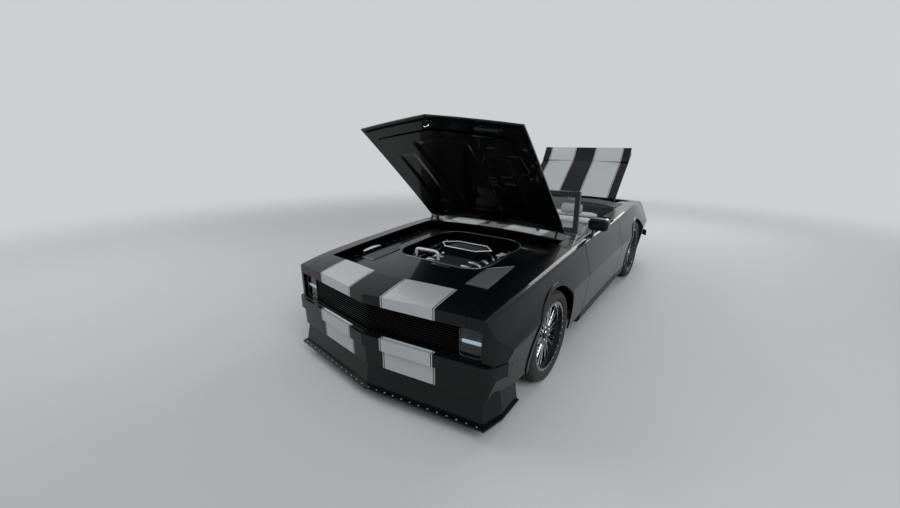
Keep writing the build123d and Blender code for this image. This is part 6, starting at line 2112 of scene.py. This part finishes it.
    def belt(self, name: str, side: int) -> Piece:
        """Lap belt laid over the outer side of a front cushion and in across its top."""
        route = [(-0.300, 0.622, 0.250), (-0.262, 0.620, 0.395), (-0.235, 0.560, 0.424),
                 (-0.215, 0.480, 0.424), (-0.200, 0.400, 0.416)]
        half, thick = 0.023, 0.0013
        rings = []
        for i, (x, y, z) in enumerate(route):
            lean = 0.0 if i > 1 else 1.0
            rings.append([
                (x - half, side * (y - thick * lean), z - thick * (1 - lean)),
                (x + half, side * (y - thick * lean), z - thick * (1 - lean)),
                (x + half, side * (y + thick * lean), z + thick * (1 - lean)),
                (x - half, side * (y + thick * lean), z + thick * (1 - lean)),
            ])
        return skin(f"lap_belt_{name}", rings)

    def door_card(self, name: str, side: int) -> Piece:
        """Trimmed inner panel of a door."""
        outline = softened([(0.560, 0.300), (0.560, 0.800), (0.520, 0.822), (-0.400, 0.830), (-0.425, 0.800),
                            (-0.425, 0.300)], 2)
        low, high = sorted((side * 0.779, side * 0.7915))
        return prism(f"door_card_{name}", outline, low, high, "y", 0.003)

    def door_pleats(self, name: str, side: int) -> Piece:
        """Padded panel with upright pleats."""
        columns, rows, pitch = 160, 10, 0.045
        grid = []
        for i in range(rows + 1):
            z = 0.385 + 0.200 * i / rows
            end_z = min(i, rows - i) / rows
            row = []
            for j in range(columns + 1):
                x = -0.340 + 0.790 * j / columns
                near = abs((x / pitch) - round(x / pitch)) * pitch
                swell = 0.011 * (1 - 0.8 * math.exp(-(near / 0.006) ** 2)) * min(1.0, end_z * 12 + 0.15)
                row.append((x, side * (0.7785 - swell), z))
            grid.append(row)
        back = [[(x, side * 0.7800, z) for x, _, z in row] for row in grid]
        return sheet_between(f"door_pleats_{name}", grid, back)

    def door_top(self, name: str, side: int) -> Piece:
        """Pale padded line along the top of a door."""
        route = [(0.600, 0.7800), (0.560, 0.7790), (0.200, 0.7775), (-0.200, 0.7775), (-0.440, 0.7790),
                 (-0.466, 0.7800)]
        spine = [(x, side * y, Form.top(x, y) - 0.028) for x, y in route]
        return tube(f"door_top_{name}", spine, 0.013, 5)

    def belt_seals(self, name: str, side: int) -> Piece:
        """Rubber lips along both edges of the window's slot."""
        lips = []
        for y in (0.8145, 0.8375):
            spine = [(x, side * y, Form.top(x, y) + 0.001) for x in (0.588, 0.30, 0.0, -0.20, -0.368)]
            lips.append(tube("lip", spine, 0.0032, 2))
        return merged(f"belt_seals_{name}", lips)

    def door_pull(self, name: str, side: int) -> Piece:
        """Polished release lever in its cup."""
        lever = rod("lever", (0.360, side * 0.766, 0.690), (0.250, side * 0.766, 0.686), 0.005, 16)
        post = rod("post", (0.355, side * 0.766, 0.690), (0.355, side * 0.781, 0.690), 0.006, 16)
        return merged(f"door_release_{name}", [lever, post])

    def arm_rest(self, name: str, side: int) -> Piece:
        """Arm rest on a door."""
        low, high = sorted((side * 0.722, side * 0.781))
        return slab(f"arm_rest_{name}", (-0.300, low, 0.600), (0.190, high, 0.640), 0.014)


@dataclass
class FoldedTop:
    """Canvas cover over the folded top, with the bows showing as bands."""

    front_x: float = -1.040
    rear_x: float = -1.392
    half_y: float = 0.688
    bands: int = 4
    rise: float = 0.034
    snap_count: int = 9

    def build(self) -> None:
        """Make and hang the cover and its snaps."""
        fit(self.bundle(), Surface.CANVAS, BODY, ["top_boot"])
        fit(self.snaps(), Surface.CHROME)
        fit(self.welt(), Surface.SEAL)

    def height(self, u: float, v: float) -> float:
        """Rise of the bundle at a share back and a share across."""
        sides = 1 - abs(v) ** 6
        ends = min(1.0, u / 0.07, (1 - u) / 0.07)
        ends = ends * ends * (3 - 2 * ends)
        bow = abs(math.sin(math.pi * (self.bands * u + 0.02 * math.sin(5 * v))))
        sag = 0.0020 * math.sin(7 * v + 4 * u)
        crease = 0.0010 * math.sin(31 * v + 15 * u) * bow
        return ends * sides * (self.rise * (0.35 + 0.65 * bow ** 0.55) + sag + crease)

    def bundle(self) -> Piece:
        """Closed padded form that stands a little above the deck."""
        rows, columns = 96, 160
        grid = []
        for i in range(rows + 1):
            u = i / rows
            x = self.front_x + u * (self.rear_x - self.front_x)
            row = []
            for j in range(columns + 1):
                v = 2 * j / columns - 1
                y = v * self.half_y
                row.append((x, y, Form.top(x, y) - 0.001 + self.height(u, v)))
            grid.append(row)
        return sheet_of("folded_top_cover", grid, 0.011)

    def snaps(self) -> Piece:
        """Bright snaps along the cover's rear edge."""
        heads = []
        for i in range(self.snap_count):
            y = -0.60 + 1.20 * i / (self.snap_count - 1)
            x = self.rear_x + 0.010
            heads.append(dome("snap", (x, y, Form.top(x, y) + 0.0005), 0.006, 0.003))
        return merged("cover_snaps", heads)

    def welt(self) -> Piece:
        """Piping round the cover's edge."""
        mid_x, half_x = (self.front_x + self.rear_x) / 2, (self.front_x - self.rear_x) / 2
        corners = []
        for a, b in rounded(half_x - 0.002, self.half_y - 0.002, 0.02, 5):
            x = mid_x + a
            corners.append((x, b, Form.top(x, b) + 0.0005))
        return outline_tube("cover_piping", corners, 0.003)


def main() -> None:
    """Dress the construction model and build every added piece."""
    logging.basicConfig(level=logging.INFO, format="%(message)s")
    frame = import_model()
    Studio().build()
    dress_frame(frame["nodes"])
    for side_name, side in SIDES:
        Wheel(f"front_{side_name}", side, **FRONT_WHEEL).build()
        Wheel(f"rear_{side_name}", side, **REAR_WHEEL).build()
    for part in (Nose(), Bay(frame["nodes"]), Hood(), Screen(), Tail(), Seats(), Cabin(), FoldedTop()):
        part.build()


if __name__ == "__main__":
    main()
